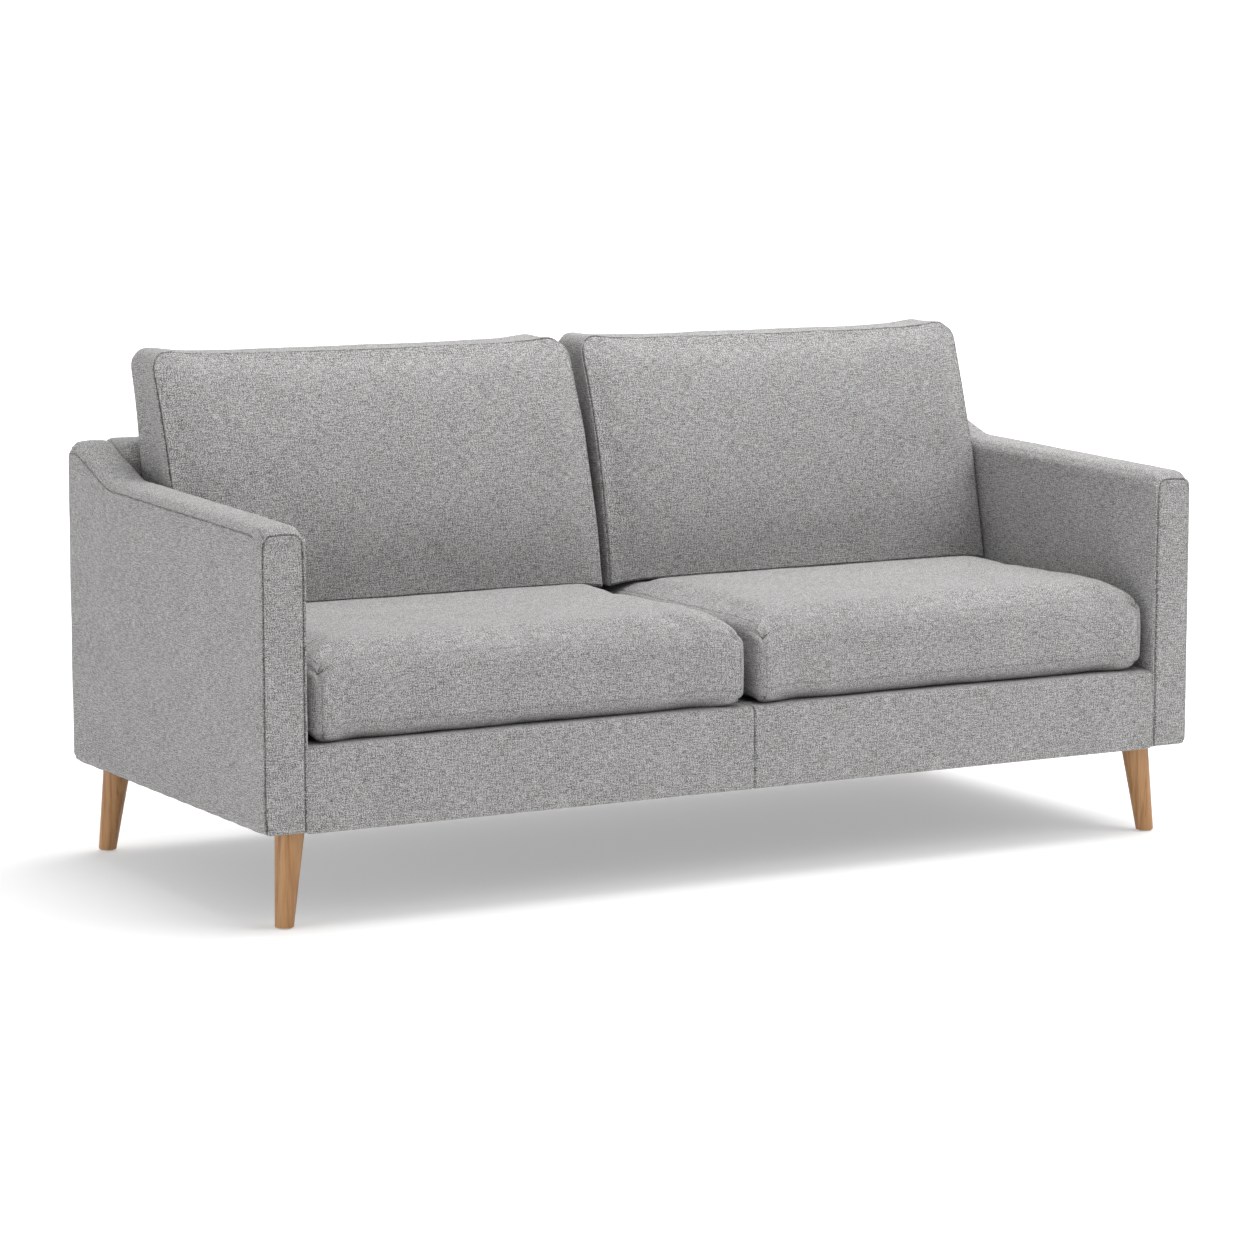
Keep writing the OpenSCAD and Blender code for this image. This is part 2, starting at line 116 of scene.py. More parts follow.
def arm_top(y):
    """Height of an arm's crest at a place along its depth."""
    d = y - FRONT_Y
    rise = ARM_RISE * np.minimum(d, SWEEP_START) / SWEEP_START
    sweep = BACK_TOP_Z - ARM_FRONT_Z - ARM_RISE
    t = (d - SWEEP_START) / (SWEEP_END - SWEEP_START)
    ramp = soft_min(soft_max((t - 0.08) / 0.84, 0.0, 0.12), 1.0, 0.12)
    return ARM_FRONT_Z + rise + sweep * (0.4 * smoothstep(t) + 0.6 * ramp)


# ---- mesh helpers ----


def spaced(low, high, cell, fine):
    """Places from low to high about a cell apart, closer together beside both ends."""
    fine = [f for f in fine if f < (high - low) / 3]
    near = fine[-1] if fine else 0
    count = max(1, round((high - low - 2 * near) / cell))
    middle = np.linspace(low + near, high - near, count + 1)
    start = [low + f for f in (0, *fine[:-1])] if fine else []
    end = [high - f for f in (*reversed(fine[:-1]), 0)] if fine else []
    return np.array([*start, *middle, *end])


def new_object(name, mesh):
    mesh.name = name
    ob = bpy.data.objects.new(name, mesh)
    bpy.context.scene.collection.objects.link(ob)
    return ob


class Panels:
    """Collects grids of points that share their edges, and sews them into one mesh.

    side is LEFT to mirror right-hand work. dip is how far each point is drawn in at a seam.
    """

    def __init__(self, side=1):
        self.side = side
        self.points, self.quads, self.uvs, self.dips, self.parts = [], [], [], [], []

    def add(self, grid, place, dip=0.0, flip=False, keep=None, part=0):
        """Adds an (n, m, 3) grid of points with an (n, m, 2) grid of places on the cloth, in metres."""
        base = sum(len(p) for p in self.points)
        n, m = grid.shape[:2]
        index = np.arange(n * m).reshape(n, m)
        corners = [index[:-1, :-1], index[1:, :-1], index[1:, 1:], index[:-1, 1:]]
        if flip != (self.side < 0):
            corners.reverse()
        quads = np.stack([c.ravel() for c in corners], 1)
        if keep is not None:
            quads = quads[keep.reshape(-1)[quads].all(1)]
        self.points.append(grid.reshape(-1, 3) * np.array([self.side, 1.0, 1.0]))
        self.quads.append(quads + base)
        self.uvs.append(place.reshape(-1, 2)[quads])
        self.dips.append(np.broadcast_to(dip, (n, m)).ravel())
        self.parts.append(np.full(len(quads), part, np.int32))

    def build(self, name, material):
        mesh = bpy.data.meshes.new(name)
        mesh.from_pydata(np.concatenate(self.points).tolist(), [], np.concatenate(self.quads).tolist())
        layer = mesh.uv_layers.new(name="cloth")
        layer.data.foreach_set("uv", np.concatenate(self.uvs).astype(np.float32).ravel())
        mesh.polygons.foreach_set("use_smooth", [True] * len(mesh.polygons))
        mesh.materials.append(material)
        ob = new_object(name, mesh)
        dips = ob.data.attributes.new("dip", "FLOAT", "POINT")
        dips.data.foreach_set("value", np.concatenate(self.dips).astype(np.float32))
        parts = ob.data.attributes.new("part", "INT", "FACE")
        parts.data.foreach_set("value", np.concatenate(self.parts))
        bm = bmesh.new()
        bm.from_mesh(ob.data)
        bmesh.ops.remove_doubles(bm, verts=bm.verts, dist=WELD)
        loose = [v for v in bm.verts if not v.link_faces]
        bmesh.ops.delete(bm, geom=loose, context="VERTS")
        bm.to_mesh(ob.data)
        bm.free()
        return ob


AXIS_SPAN = ((1, 2), (0, 2), (0, 1))
ALL_FACES = ("x+", "x-", "y+", "y-", "z+", "z-")


def box_faces(panels, axes, faces, shape, dip=None, keep=None, part=0):
    """Adds faces of a box, such as "x+", bent by shape. axes are its three lists of places."""
    for face in faces:
        axis, high = "xyz".index(face[0]), face[1] == "+"
        first, second = AXIS_SPAN[axis]
        a, b = np.meshgrid(axes[first], axes[second], indexing="ij")
        grid = np.empty((*a.shape, 3))
        grid[..., axis] = axes[axis][-1 if high else 0]
        grid[..., first], grid[..., second] = a, b
        place = np.stack([a, b], -1) + 2.0 * axis + 0.9 * high
        panels.add(
            shape(grid),
            place,
            dip(grid) if dip else 0.0,
            flip=high == (axis == 1),
            keep=keep(grid) if keep else None,
            part=part,
        )


def split_off(ob, part, name):
    """Moves the faces added with a part number to an object of their own."""
    other = new_object(name, ob.data.copy())
    for piece, wanted in ((ob, False), (other, True)):
        bm = bmesh.new()
        bm.from_mesh(piece.data)
        layer = bm.faces.layers.int["part"]
        gone = [f for f in bm.faces if (f[layer] == part) != wanted]
        bmesh.ops.delete(bm, geom=gone, context="FACES")
        bm.to_mesh(piece.data)
        bm.free()
    return other


def corner_shift(a, b, a_range, b_range, radii, hold=8):
    """How points of a rectangle move to round its corners.

    radii are those of the (low low, high low, low high, high high) corners. hold is how closely the
    rounding keeps to the rim.
    """
    (a0, a1), (b0, b1) = a_range, b_range
    mid_a, mid_b, half_a, half_b = (a0 + a1) / 2, (b0 + b1) / 2, (a1 - a0) / 2, (b1 - b0) / 2
    na, nb = (a - mid_a) / half_a, (b - mid_b) / half_b
    level = np.maximum(np.maximum(np.abs(na), np.abs(nb)), TINY)
    rim_a, rim_b = mid_a + na / level * half_a, mid_b + nb / level * half_b
    ll, hl, lh, hh = radii
    r = np.where(rim_b > mid_b, np.where(rim_a > mid_a, hh, lh), np.where(rim_a > mid_a, hl, ll))
    da = rim_a - np.clip(rim_a, a0 + r, a1 - r)
    db = rim_b - np.clip(rim_b, b0 + r, b1 - r)
    length = np.hypot(da, db)
    factor = np.where(length > 1e-9, r / np.maximum(length, 1e-9), 1) - 1
    pull = factor * level**hold
    return da * pull, db * pull


def round_block(p, low, high, xy, xz, yz):
    """Rounds a block's edges: each group has the four radii of the edges seen in that plane."""
    out = p.copy()
    for (i, j), radii in (((0, 1), xy), ((0, 2), xz), ((1, 2), yz)):
        da, db = corner_shift(p[..., i], p[..., j], (low[i], high[i]), (low[j], high[j]), radii)
        out[..., i] += da
        out[..., j] += db
    return out


def vertex_values(ob, kind):
    values = np.empty(len(ob.data.vertices) * 3)
    ob.data.vertices.foreach_get(kind, values)
    return values.reshape(-1, 3)


def coords(ob):
    return vertex_values(ob, "co")


def set_coords(ob, co):
    ob.data.vertices.foreach_set("co", np.asarray(co, np.float32).ravel())
    ob.data.update()


def normals(ob):
    return vertex_values(ob, "normal")


def noise_field(co, scale, seed):
    """Smooth noise between about -1 and 1 at each point, with features about a scale wide."""
    offset = Vector((seed * 7.31, seed * 3.17, seed * 5.93))
    scale = np.broadcast_to(np.asarray(scale, float), 3)
    return np.array([noise.noise(Vector(p) + offset) for p in (co / scale).tolist()])


def rumple(ob, height, scale, seed, where=None):
    """Gives a cloth surface shallow waves."""
    co = coords(ob)
    wave = noise_field(co, scale, seed) + 0.5 * noise_field(co, np.asarray(scale) / 2.3, seed + 1)
    if where is not None:
        wave = wave * where
    set_coords(ob, co + normals(ob) * (height * wave)[:, None])


def above_hem(ob):
    """0 where cloth is turned under the body, so that it lies flat on the dust cover, and 1 higher up."""
    return smoothstep((coords(ob)[:, 2] - UNDER_Z) / (30 * MM))


def subdivide(ob):
    """Adds one level of smooth subdivision and applies it."""
    mod = ob.modifiers.new("smooth", "SUBSURF")
    mod.levels = mod.render_levels = 1
    mod.uv_smooth = "PRESERVE_BOUNDARIES"
    dg = bpy.context.evaluated_depsgraph_get()
    mesh = bpy.data.meshes.new_from_object(ob.evaluated_get(dg), depsgraph=dg)
    ob.modifiers.clear()
    old, ob.data = ob.data, mesh
    mesh.name = ob.name
    bpy.data.meshes.remove(old)
    mesh.polygons.foreach_set("use_smooth", [True] * len(mesh.polygons))


def sew(ob):
    """Draws the cloth in along its seams, and marks them for the cloth's material, which darkens them: partly
    the stitch line, partly painted shade in the groove.
    """
    dips = np.empty(len(ob.data.vertices), np.float32)
    ob.data.attributes["dip"].data.foreach_get("value", dips)
    set_coords(ob, coords(ob) - normals(ob) * dips[:, None])
    ob.data.attributes.remove(ob.data.attributes["dip"])
    seam = ob.data.attributes.new("seam", "FLOAT", "POINT")
    seam.data.foreach_set("value", np.clip(dips / SEAM_DEPTH, 0, 1))


def finish_piece(ob, body, slot, node):
    """Puts a piece on its body and in place of its CAD node; slot is not used."""
    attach(ob, body)
    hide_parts(node)


# ---- materials ----


class Nodes:
    """Short ways to write a material's node tree."""

    def __init__(self, name):
        self.material = bpy.data.materials.new(name)
        self.material.use_nodes = True
        self.tree = self.material.node_tree
        self.shader = self.tree.nodes["Principled BSDF"]

    def node(self, kind, **settings):
        made = self.tree.nodes.new("ShaderNode" + kind)
        for key, value in settings.items():
            setattr(made, key, value)
        return made

    def link(self, source, target):
        self.tree.links.new(source, target)

    def feed(self, socket, value):
        if isinstance(value, bpy.types.NodeSocket):
            self.link(value, socket)
        else:
            socket.default_value = value

    def math(self, operation, a, b=0.0, c=0.0, clamp=False):
        made = self.node("Math", operation=operation, use_clamp=clamp)
        for socket, value in zip(made.inputs, (a, b, c)):
            self.feed(socket, value)
        return made.outputs[0]

    def add(self, a, b):
        return self.math("ADD", a, b)

    def times(self, a, b):
        return self.math("MULTIPLY", a, b)

    def place(self):
        return self.node("TexCoord").outputs["Object"]

    def cloth_place(self):
        return self.node("UVMap", uv_map="cloth").outputs[0]

    def scaled(self, vector, x, y, z=1.0, turn=0.0):
        made = self.node("Mapping")
        self.link(vector, made.inputs["Vector"])
        made.inputs["Scale"].default_value = (x, y, z)
        made.inputs["Rotation"].default_value = (0, 0, turn)
        return made.outputs[0]

    def split(self, vector):
        made = self.node("SeparateXYZ")
        self.link(vector, made.inputs[0])
        return made.outputs

    def noise(self, vector, scale=1.0, detail=2.0, roughness=0.5, distortion=0.0, dimensions="3D"):
        made = self.node("TexNoise", noise_dimensions=dimensions)
        self.link(vector, made.inputs["Vector"])
        made.inputs["Scale"].default_value = scale
        made.inputs["Detail"].default_value = detail
        made.inputs["Roughness"].default_value = roughness
        made.inputs["Distortion"].default_value = distortion
        return made.outputs["Fac"]

    def cells(self, vector, scale):
        """Distance from the middle of each of the cells that fill space."""
        made = self.node("TexVoronoi", feature="F1")
        self.link(vector, made.inputs["Vector"])
        made.inputs["Scale"].default_value = scale
        return made.outputs["Distance"]

    def ramp(self, value, *stops):
        """A colour ramp through (place, (r, g, b)) stops."""
        made = self.node("ValToRGB")
        self.link(value, made.inputs[0])
        elements = made.color_ramp.elements
        while len(elements) < len(stops):
            elements.new(1.0)
        for element, (place, colour) in zip(elements, stops):
            element.position = place
            element.color = (*colour, 1.0)
        return made.outputs[0]

    def mix(self, factor, a, b):
        made = self.node("Mix", data_type="FLOAT")
        self.feed(made.inputs[0], factor)
        self.feed(made.inputs[2], a)
        self.feed(made.inputs[3], b)
        return made.outputs[0]

    def fix(self, socket, value):
        self.shader.inputs[socket].default_value = value

    def colour(self, value):
        self.link(value, self.shader.inputs["Base Color"])

    def roughness(self, value):
        self.feed(self.shader.inputs["Roughness"], value)

    def bump(self, height, depth, strength):
        made = self.node("Bump")
        made.inputs["Distance"].default_value = depth
        made.inputs["Strength"].default_value = strength
        self.link(height, made.inputs["Height"])
        self.link(made.outputs[0], self.shader.inputs["Normal"])


def grey(level, warmth):
    return (level * (1 + warmth), level, level * (1 - warmth))


def upholstery():
    """Chunky marled weave: slubby warp and weft in light and dark greys."""
    m = Nodes("upholstery_fabric")
    pitch = 1 / (2.5 * MM)
    cloth = m.cloth_place()
    wobble = m.noise(m.scaled(cloth, 140, 140), detail=1.0, dimensions="2D")
    drift = m.noise(m.scaled(cloth, 100, 100, turn=1.1), detail=1.0, dimensions="2D")
    u, v, _ = m.split(cloth)
    across = m.add(m.times(u, pitch), m.times(wobble, 1.9))
    along = m.add(m.times(v, pitch), m.times(drift, 1.9))
    sin_u = m.math("SINE", m.times(across, math.pi))
    sin_v = m.math("SINE", m.times(along, math.pi))
    over = m.math("MULTIPLY_ADD", m.times(sin_u, sin_v), 1.6, 0.5, clamp=True)
    warp_slub = m.noise(m.scaled(cloth, 430, 80), detail=2.0, roughness=0.6, dimensions="2D")
    weft_slub = m.noise(m.scaled(cloth, 60, 430, turn=0.02), detail=2.0, roughness=0.6, dimensions="2D")
    slub = m.mix(over, weft_slub, warp_slub)
    fleck = m.noise(m.scaled(cloth, 520, 520, turn=0.6), detail=1.0, dimensions="2D")
    cloud = m.noise(m.scaled(cloth, 14, 14), detail=2.0, dimensions="2D")
    rib = m.mix(over, m.math("ABSOLUTE", sin_v), m.math("ABSOLUTE", sin_u))
    shade = m.add(m.times(slub, 0.52), m.times(fleck, 0.44))
    shade = m.add(shade, m.times(cloud, 0.04))
    shade = m.add(shade, m.times(m.add(rib, -0.6), 0.26))
    # Darker along the seams: partly the stitch line, partly painted shade in the seam's groove.
    seam = m.node("Attribute", attribute_name="seam").outputs["Fac"]
    shade = m.add(shade, m.times(seam, -0.16))
    m.colour(
        m.ramp(
            shade,
            (0.35, grey(0.070, 0.040)),
            (0.44, grey(0.165, 0.025)),
            (0.515, grey(0.295, 0.015)),
            (0.59, grey(0.435, 0.008)),
            (0.67, grey(0.560, 0.004)),
        )
    )
    height = m.add(m.times(rib, 0.5), m.times(slub, 0.9))
    m.bump(height, 0.8 * MM, 0.9)
    m.roughness(0.92)
    m.fix("Sheen Weight", 0.12)
    m.fix("Sheen Roughness", 0.6)
    m.fix("Specular IOR Level", 0.25)
    return m.material


def wood(name, tones, grain, squeeze, roughness):
    """Straight-grained wood with fine pores, its grain along the axis that squeeze makes small."""
    m = Nodes(name)
    bent = m.scaled(m.place(), *(grain * s for s in squeeze))
    broad = m.noise(bent, 1.0, 3.0, 0.55, 1.2)
    fine = m.noise(bent, 7.5, 4.0, 0.65, 0.4)
    pores = m.noise(bent, 34.0, 2.0, 0.6)
    rings = m.math("FRACT", m.times(broad, 5.0))
    rings = m.math("PINGPONG", rings, 0.5)
    tone = m.add(m.times(rings, 0.55), m.times(fine, 0.55))
    tone = m.add(tone, m.times(pores, 0.18))
    dark, middle, light = tones
    m.colour(m.ramp(tone, (0.28, dark), (0.50, middle), (0.80, light)))
    m.bump(m.add(m.times(fine, 0.4), pores), 0.25 * MM, 0.35)
    m.roughness(m.math("MULTIPLY_ADD", fine, 0.18, roughness - 0.09))
    m.fix("Specular IOR Level", 0.4)
    return m.material


def fibreboard():
    """Brown pressed board with short fibres."""
    m = Nodes("fibreboard")
    place = m.place()
    fibres = m.noise(place, 160, 5.0, 0.75, 0.8)
    blotch = m.noise(place, 9, 2.0)
    tone = m.add(m.times(fibres, 0.75), m.times(blotch, 0.25))
    m.colour(m.ramp(tone, (0.35, (0.19, 0.12, 0.07)), (0.65, (0.36, 0.25, 0.15))))
    m.bump(fibres, 0.3 * MM, 0.5)
    m.roughness(0.8)
    return m.material


def foam(name, light, dark):
    """Open-celled foam."""
    m = Nodes(name)
    place = m.place()
    cells = m.cells(place, 620)
    blotch = m.noise(place, 22, 3.0)
    tone = m.add(m.times(cells, 0.6), m.times(blotch, 0.5))
    m.colour(m.ramp(tone, (0.25, light), (0.75, dark)))
    m.bump(cells, 0.5 * MM, 0.6)
    m.roughness(0.95)
    return m.material


def woven(name, dark, light, pitch, depth):
    """Plain woven cloth by its place in the object, for parts without a cloth map."""
    m = Nodes(name)
    place = m.place()
    x, y, z = m.split(place)
    step = math.pi / pitch
    a = m.math("SINE", m.times(m.add(x, m.times(z, 0.7)), step))
    b = m.math("SINE", m.times(m.add(y, m.times(z, 0.7)), step))
    weave = m.times(a, b)
    fuzz = m.noise(place, 0.6 / pitch, 3.0, 0.7)
    tone = m.add(m.times(weave, 0.18), fuzz)
    m.colour(m.ramp(tone, (0.30, dark), (0.72, light)))
    m.bump(tone, depth, 0.6)
    m.roughness(0.85)
    return m.material


def felted(name, dark, light):
    """Pressed fibres: felt or a non-woven cloth with its dimples."""
    m = Nodes(name)
    place = m.place()
    fibres = m.noise(place, 240, 5.0, 0.75, 1.5)
    dimples = m.cells(place, 260)
    blotch = m.noise(place, 12, 3.0)
    tone = m.add(m.times(fibres, 0.7), m.times(blotch, 0.3))
    m.colour(m.ramp(tone, (0.32, dark), (0.68, light)))
    m.bump(m.add(fibres, m.times(dimples, 0.5)), 0.4 * MM, 0.5)
    m.roughness(0.93)
    return m.material


def steel():
    """Zinc-plated steel with fine brushing and faint stains."""
    m = Nodes("zinc_steel")
    place = m.place()
    brush = m.noise(m.scaled(place, 900, 60, 900), 1.0, 3.0, 0.6)
    stain = m.noise(place, 45, 3.0)
    tone = m.add(m.times(brush, 0.4), m.times(stain, 0.6))
    m.colour(m.ramp(tone, (0.3, (0.42, 0.43, 0.45)), (0.7, (0.66, 0.67, 0.69))))
    m.roughness(m.math("MULTIPLY_ADD", stain, 0.3, 0.18))
    m.fix("Metallic", 1.0)
    m.bump(brush, 0.05 * MM, 0.3)
    return m.material


def plastic(name, dark, light):
    """Moulded plastic with a fine satin grain."""
    m = Nodes(name)
    place = m.place()
    grain = m.noise(place, 700, 2.0)
    blotch = m.noise(place, 30, 2.0)
    tone = m.add(m.times(grain, 0.3), m.times(blotch, 0.7))
    m.colour(m.ramp(tone, (0.3, dark), (0.7, light)))
    m.bump(grain, 0.08 * MM, 0.4)
    m.roughness(0.45)
    return m.material


def stage_white():
    """Pale studio floor with a trace of unevenness that glows by itself: near the sofa a faint glow, painted
    light that lightens its shadow, and towards the far edges a stronger one that lights the floor up evenly.
    """
    m = Nodes("studio_white")
    soft = m.noise(m.place(), 0.8, 2.0)
    m.colour(m.ramp(soft, (0.3, (0.75, 0.75, 0.75)), (0.7, (0.78, 0.78, 0.78))))
    m.roughness(0.9)
    m.fix("Specular IOR Level", 0.1)
    # The floor's own glow: 0.33 near the sofa, painted light lifting its shadow, rising to 0.85 towards the
    # far edges.
    m.fix("Emission Color", (1, 1, 1, 1))
    distance = m.node("VectorMath", operation="LENGTH")
    m.link(m.place(), distance.inputs[0])
    glow = m.node("MapRange", interpolation_type="SMOOTHSTEP")
    m.link(distance.outputs["Value"], glow.inputs["Value"])
    for socket, value in (("From Min", 2.5), ("From Max", 6.5), ("To Min", 0.33), ("To Max", 0.85)):
        glow.inputs[socket].default_value = value
    m.link(glow.outputs["Result"], m.shader.inputs["Emission Strength"])
    return m.material


FABRIC = upholstery()
LEG_WOOD = wood(
    "oiled_beech",
    ((0.265, 0.122, 0.045), (0.395, 0.204, 0.083), (0.475, 0.27, 0.125)),
    grain=26.0,
    squeeze=(1, 1, 0.055),
    roughness=0.42,
)
PINE = wood(
    "pine_timber",
    ((0.48, 0.31, 0.15), (0.66, 0.48, 0.27), (0.76, 0.60, 0.38)),
    grain=14.0,
    squeeze=(0.08, 1, 1),
    roughness=0.6,
)
BOARD = fibreboard()
CREAM_FOAM = foam("cream_foam", (0.78, 0.72, 0.52), (0.62, 0.55, 0.36))
FIBRE_FILL = foam("fibre_filling", (0.86, 0.86, 0.84), (0.68, 0.68, 0.66))
WEBBING = woven("elastic_webbing", (0.012, 0.012, 0.014), (0.06, 0.06, 0.065), 1.6 * MM, 0.4 * MM)
FELT = felted("grey_felt", (0.09, 0.09, 0.095), (0.24, 0.24, 0.25))
DECK_CLOTH = woven("deck_cloth_weave", (0.07, 0.07, 0.075), (0.17, 0.17, 0.18), 1.1 * MM, 0.25 * MM)
DUST_CLOTH = felted("dust_cloth", (0.010, 0.010, 0.011), (0.035, 0.035, 0.037))
STEEL = steel()
GLIDE = plastic("glide_plastic", (0.60, 0.60, 0.57), (0.74, 0.74, 0.71))
ZIP = plastic("zip_teeth", (0.10, 0.10, 0.105), (0.19, 0.19, 0.20))
TAPE = woven("zip_tape", (0.13, 0.13, 0.135), (0.26, 0.26, 0.27), 0.9 * MM, 0.2 * MM)

CAD_MATERIALS = {
    "leg_wood": LEG_WOOD,
    "frame_timber": PINE,
    "fibreboard": BOARD,
    "foam": CREAM_FOAM,
    "webbing": WEBBING,
    "felt": FELT,
    "deck_fabric": DECK_CLOTH,
    "dust_fabric": DUST_CLOTH,
    "steel": STEEL,
    "glide_plastic": GLIDE,
    "zip": ZIP,
    "upholstery_fabric": FABRIC,
}


# ---- fixed upholstery ----

SEAM_HALF = 2.8 * MM
FINE = mm(1.5, 3.5, 6, 9.5, 14, 20)
ARM_FINE_X = mm(1.2, 2.4, 3.7, 5, 6.3, 7.6, 10, 14, 20)
ARM_FINE_Z = mm(1.5, 3, 4.6, 5.9, 7, 8.1, 9.4, 10.8, 12, 13, 14, 15.2, 17, 20, 24)


def seam_dip(distance, depth=SEAM_DEPTH, half=SEAM_HALF):
    """How far cloth is drawn in near a seam, with the slight ridge of its turned allowance beside it."""
    t = np.abs(distance) / half
    return depth * np.exp(-2.2 * t * t) - 0.22 * depth * np.exp(-1.6 * (t - 1.9) ** 2)


ARM_LOW = (ARM_IN, FRONT_Y, UNDER_Z)
ARM_HIGH = (ARM_OUT, BACK_Y, ARM_FRONT_Z)
ARM_SEAM_DROP = 13 * MM
ARM_HEM = 34 * MM
CROWN = 4 * MM


def arm_axes():
    return (
        spaced(ARM_IN, ARM_OUT, 7 * MM, ARM_FINE_X),
        spaced(FRONT_Y, BACK_Y, 8 * MM, FINE),
        spaced(UNDER_Z, ARM_FRONT_Z, 8 * MM, ARM_FINE_Z),
    )


def arm_shape(p, inset=0.0):
    """Bends a block into an arm: rounded edges, a crowned top, the sweep at the rear and soft sides."""
    q = round_block(
        p,
        ARM_LOW,
        ARM_HIGH,
        xy=mm(4, 8, 3, 14),
        xz=mm(0, 13, 19, 16),
        yz=mm(5, 12, 27, 32),
    )
    middle, half = (ARM_IN + ARM_OUT) / 2, ARM_W / 2
    height = (p[..., 2] - UNDER_Z) / (ARM_FRONT_Z - UNDER_Z)
    depth = (p[..., 1] - FRONT_Y) / (BACK_Y - FRONT_Y)
    across = (p[..., 0] - middle) / half
    q[..., 2] += height * (arm_top(p[..., 1]) - ARM_FRONT_Z) - CROWN * across**2 * height**10
    belly = np.clip(np.sin(math.pi * height), 0, 1) * np.clip(np.sin(math.pi * depth), 0, 1) ** 0.5
    q[..., 0] += 3 * MM * belly * np.maximum(across, 0)
    q[..., 1] -= 2 * MM * (1 - np.abs(across) ** 3) * (p[..., 1] < FRONT_Y + TINY)
    q[..., 2] += sweep_pucker(p) * height**20
    if inset:
        core = np.array([middle, (FRONT_Y + BACK_Y) / 2, UNDER_Z])
        shrink = 1 - inset / np.array([half, (BACK_Y - FRONT_Y) / 2, ARM_FRONT_Z - UNDER_Z])
        q = core + (q - core) * shrink
    return q


def sweep_pucker(p):
    """The slack ripples of the top cloth beside the outer seam, at the foot of the sweep."""
    from_seam = ARM_OUT - p[..., 0]
    along = (p[..., 1] - FRONT_Y - SWEEP_START) / (SWEEP_END - SWEEP_START)
    here = smoothstep(along / 0.25) * smoothstep((0.85 - along) / 0.35)
    here = here * smoothstep(from_seam / (8 * MM)) * smoothstep((44 * MM - from_seam) / (22 * MM))
    return 1.5 * MM * here * np.sin(math.tau * (from_seam / (15 * MM) + 0.35 * along))


def panel_seam_distance(p):
    """How far a place on an arm is from its front panel's seam, a rounded line near the front's rim."""
    low, high, top, r = ARM_IN + 6.3 * MM, ARM_OUT - 2 * MM, ARM_FRONT_Z - 10.8 * MM, 17 * MM
    past_side = np.abs(p[..., 0] - (low + high) / 2) - (high - low) / 2 + r
    past_top = p[..., 2] - top + r
    outside = np.hypot(np.maximum(past_side, 0), np.maximum(past_top, 0))
    inside = np.minimum(np.maximum(past_side, past_top), 0)
    return np.abs(outside + inside - r) + p[..., 1] - FRONT_Y


def arm_covers(side):
    """An arm's sewn cover, hemmed underneath, and the narrow panel that closes its front."""
    name = SIDE_NAMES[side]

    def dip(p):
        from_front = p[..., 1] - FRONT_Y
        fade = smoothstep((from_front - 8 * MM) / (40 * MM))
        outside = p[..., 0] > ARM_OUT - TINY
        down = ARM_FRONT_Z - ARM_SEAM_DROP - p[..., 2]
        seam = np.where(outside, seam_dip(down, 1.8 * MM, 2.0 * MM) * fade, 0)
        rear_seam = np.where(outside, seam_dip(BACK_Y - 9 * MM - p[..., 1]), 0)
        return np.maximum(seam, rear_seam) + seam_dip(panel_seam_distance(p), 2.8 * MM, 2.1 * MM)

    def keep(p):
        under = p[..., 2] < UNDER_Z + TINY
        inner = p[..., 0] < ARM_IN + TINY
        hem = (p[..., 0] > ARM_OUT - ARM_HEM) | (p[..., 1] < FRONT_Y + ARM_HEM)
        return np.where(inner, p[..., 2] > felt_low.z, ~under | hem)

    panels = Panels(side)
    box_faces(panels, arm_axes(), ("x+", "x-", "z+", "y+", "z-"), arm_shape, dip, keep)
    box_faces(panels, arm_axes(), ("y-",), arm_shape, dip, part=1)
    ob = panels.build(f"{name}_arm_cover_cloth", FABRIC)
    sew(ob)
    rumple(ob, 0.7 * MM, 0.09, 3 + side, above_hem(ob))
    front = split_off(ob, 1, f"{name}_arm_panel_cloth")
    finish_piece(front, BODY, "upholstery_fabric", f"{name}_arm_front_panel")
    finish_piece(ob, BODY, "upholstery_fabric", f"{name}_arm_cover")


def arm_padding(side):
    """Foam under an arm's cover, on its front, top and both sides."""

    def keep(p):
        return (p[..., 0] > ARM_IN + TINY) | (p[..., 2] > felt_low.z + 8 * MM)

    def shape(p):
        return arm_shape(p, inset=5.5 * MM)

    panels = Panels(side)
    box_faces(panels, arm_axes(), ("x+", "x-", "z+", "y-"), shape, None, keep)
    ob = panels.build(f"{SIDE_NAMES[side]}_arm_padding", CREAM_FOAM)
    sew(ob)
    finish_piece(ob, BODY, "foam", f"{SIDE_NAMES[side]}_arm_foam")


def sweep_profile(name, side, profile, x_range, material, seam=0.0, roll=0.0):
    """Carries a side view of (y, z) points along X, from a seam of some depth to an end rolled inwards."""
    x0, x1 = x_range
    xs = spaced(x0, x1, 9 * MM, FINE)
    line = np.array(profile)
    along = np.gradient(line, axis=0)
    along /= np.linalg.norm(along, axis=1, keepdims=True)
    inward = np.stack([along[:, 1], -along[:, 0]], 1)
    length = np.concatenate([[0], np.cumsum(np.hypot(*np.diff(line, axis=0).T))])
    if roll:
        turn = np.clip((xs - (x1 - roll)) / roll, 0, 1)
        drawn = roll * (1 - np.sqrt(1 - turn**2))
        xs, drawn = np.append(xs, x1), np.append(drawn, 3 * roll)
    else:
        drawn = np.zeros_like(xs)
    grid = np.empty((len(xs), len(line), 3))
    grid[..., 0] = xs[:, None]
    grid[..., 1:] = line + inward * drawn[:, None, None]
    place = np.stack(np.meshgrid(xs + drawn, length, indexing="ij"), -1)
    dip = seam_dip(xs - x0, seam)
    panels = Panels(side)
    panels.add(grid, place, np.repeat(dip[:, None], len(line), 1))
    ob = panels.build(name, material)
    sew(ob)
    return ob


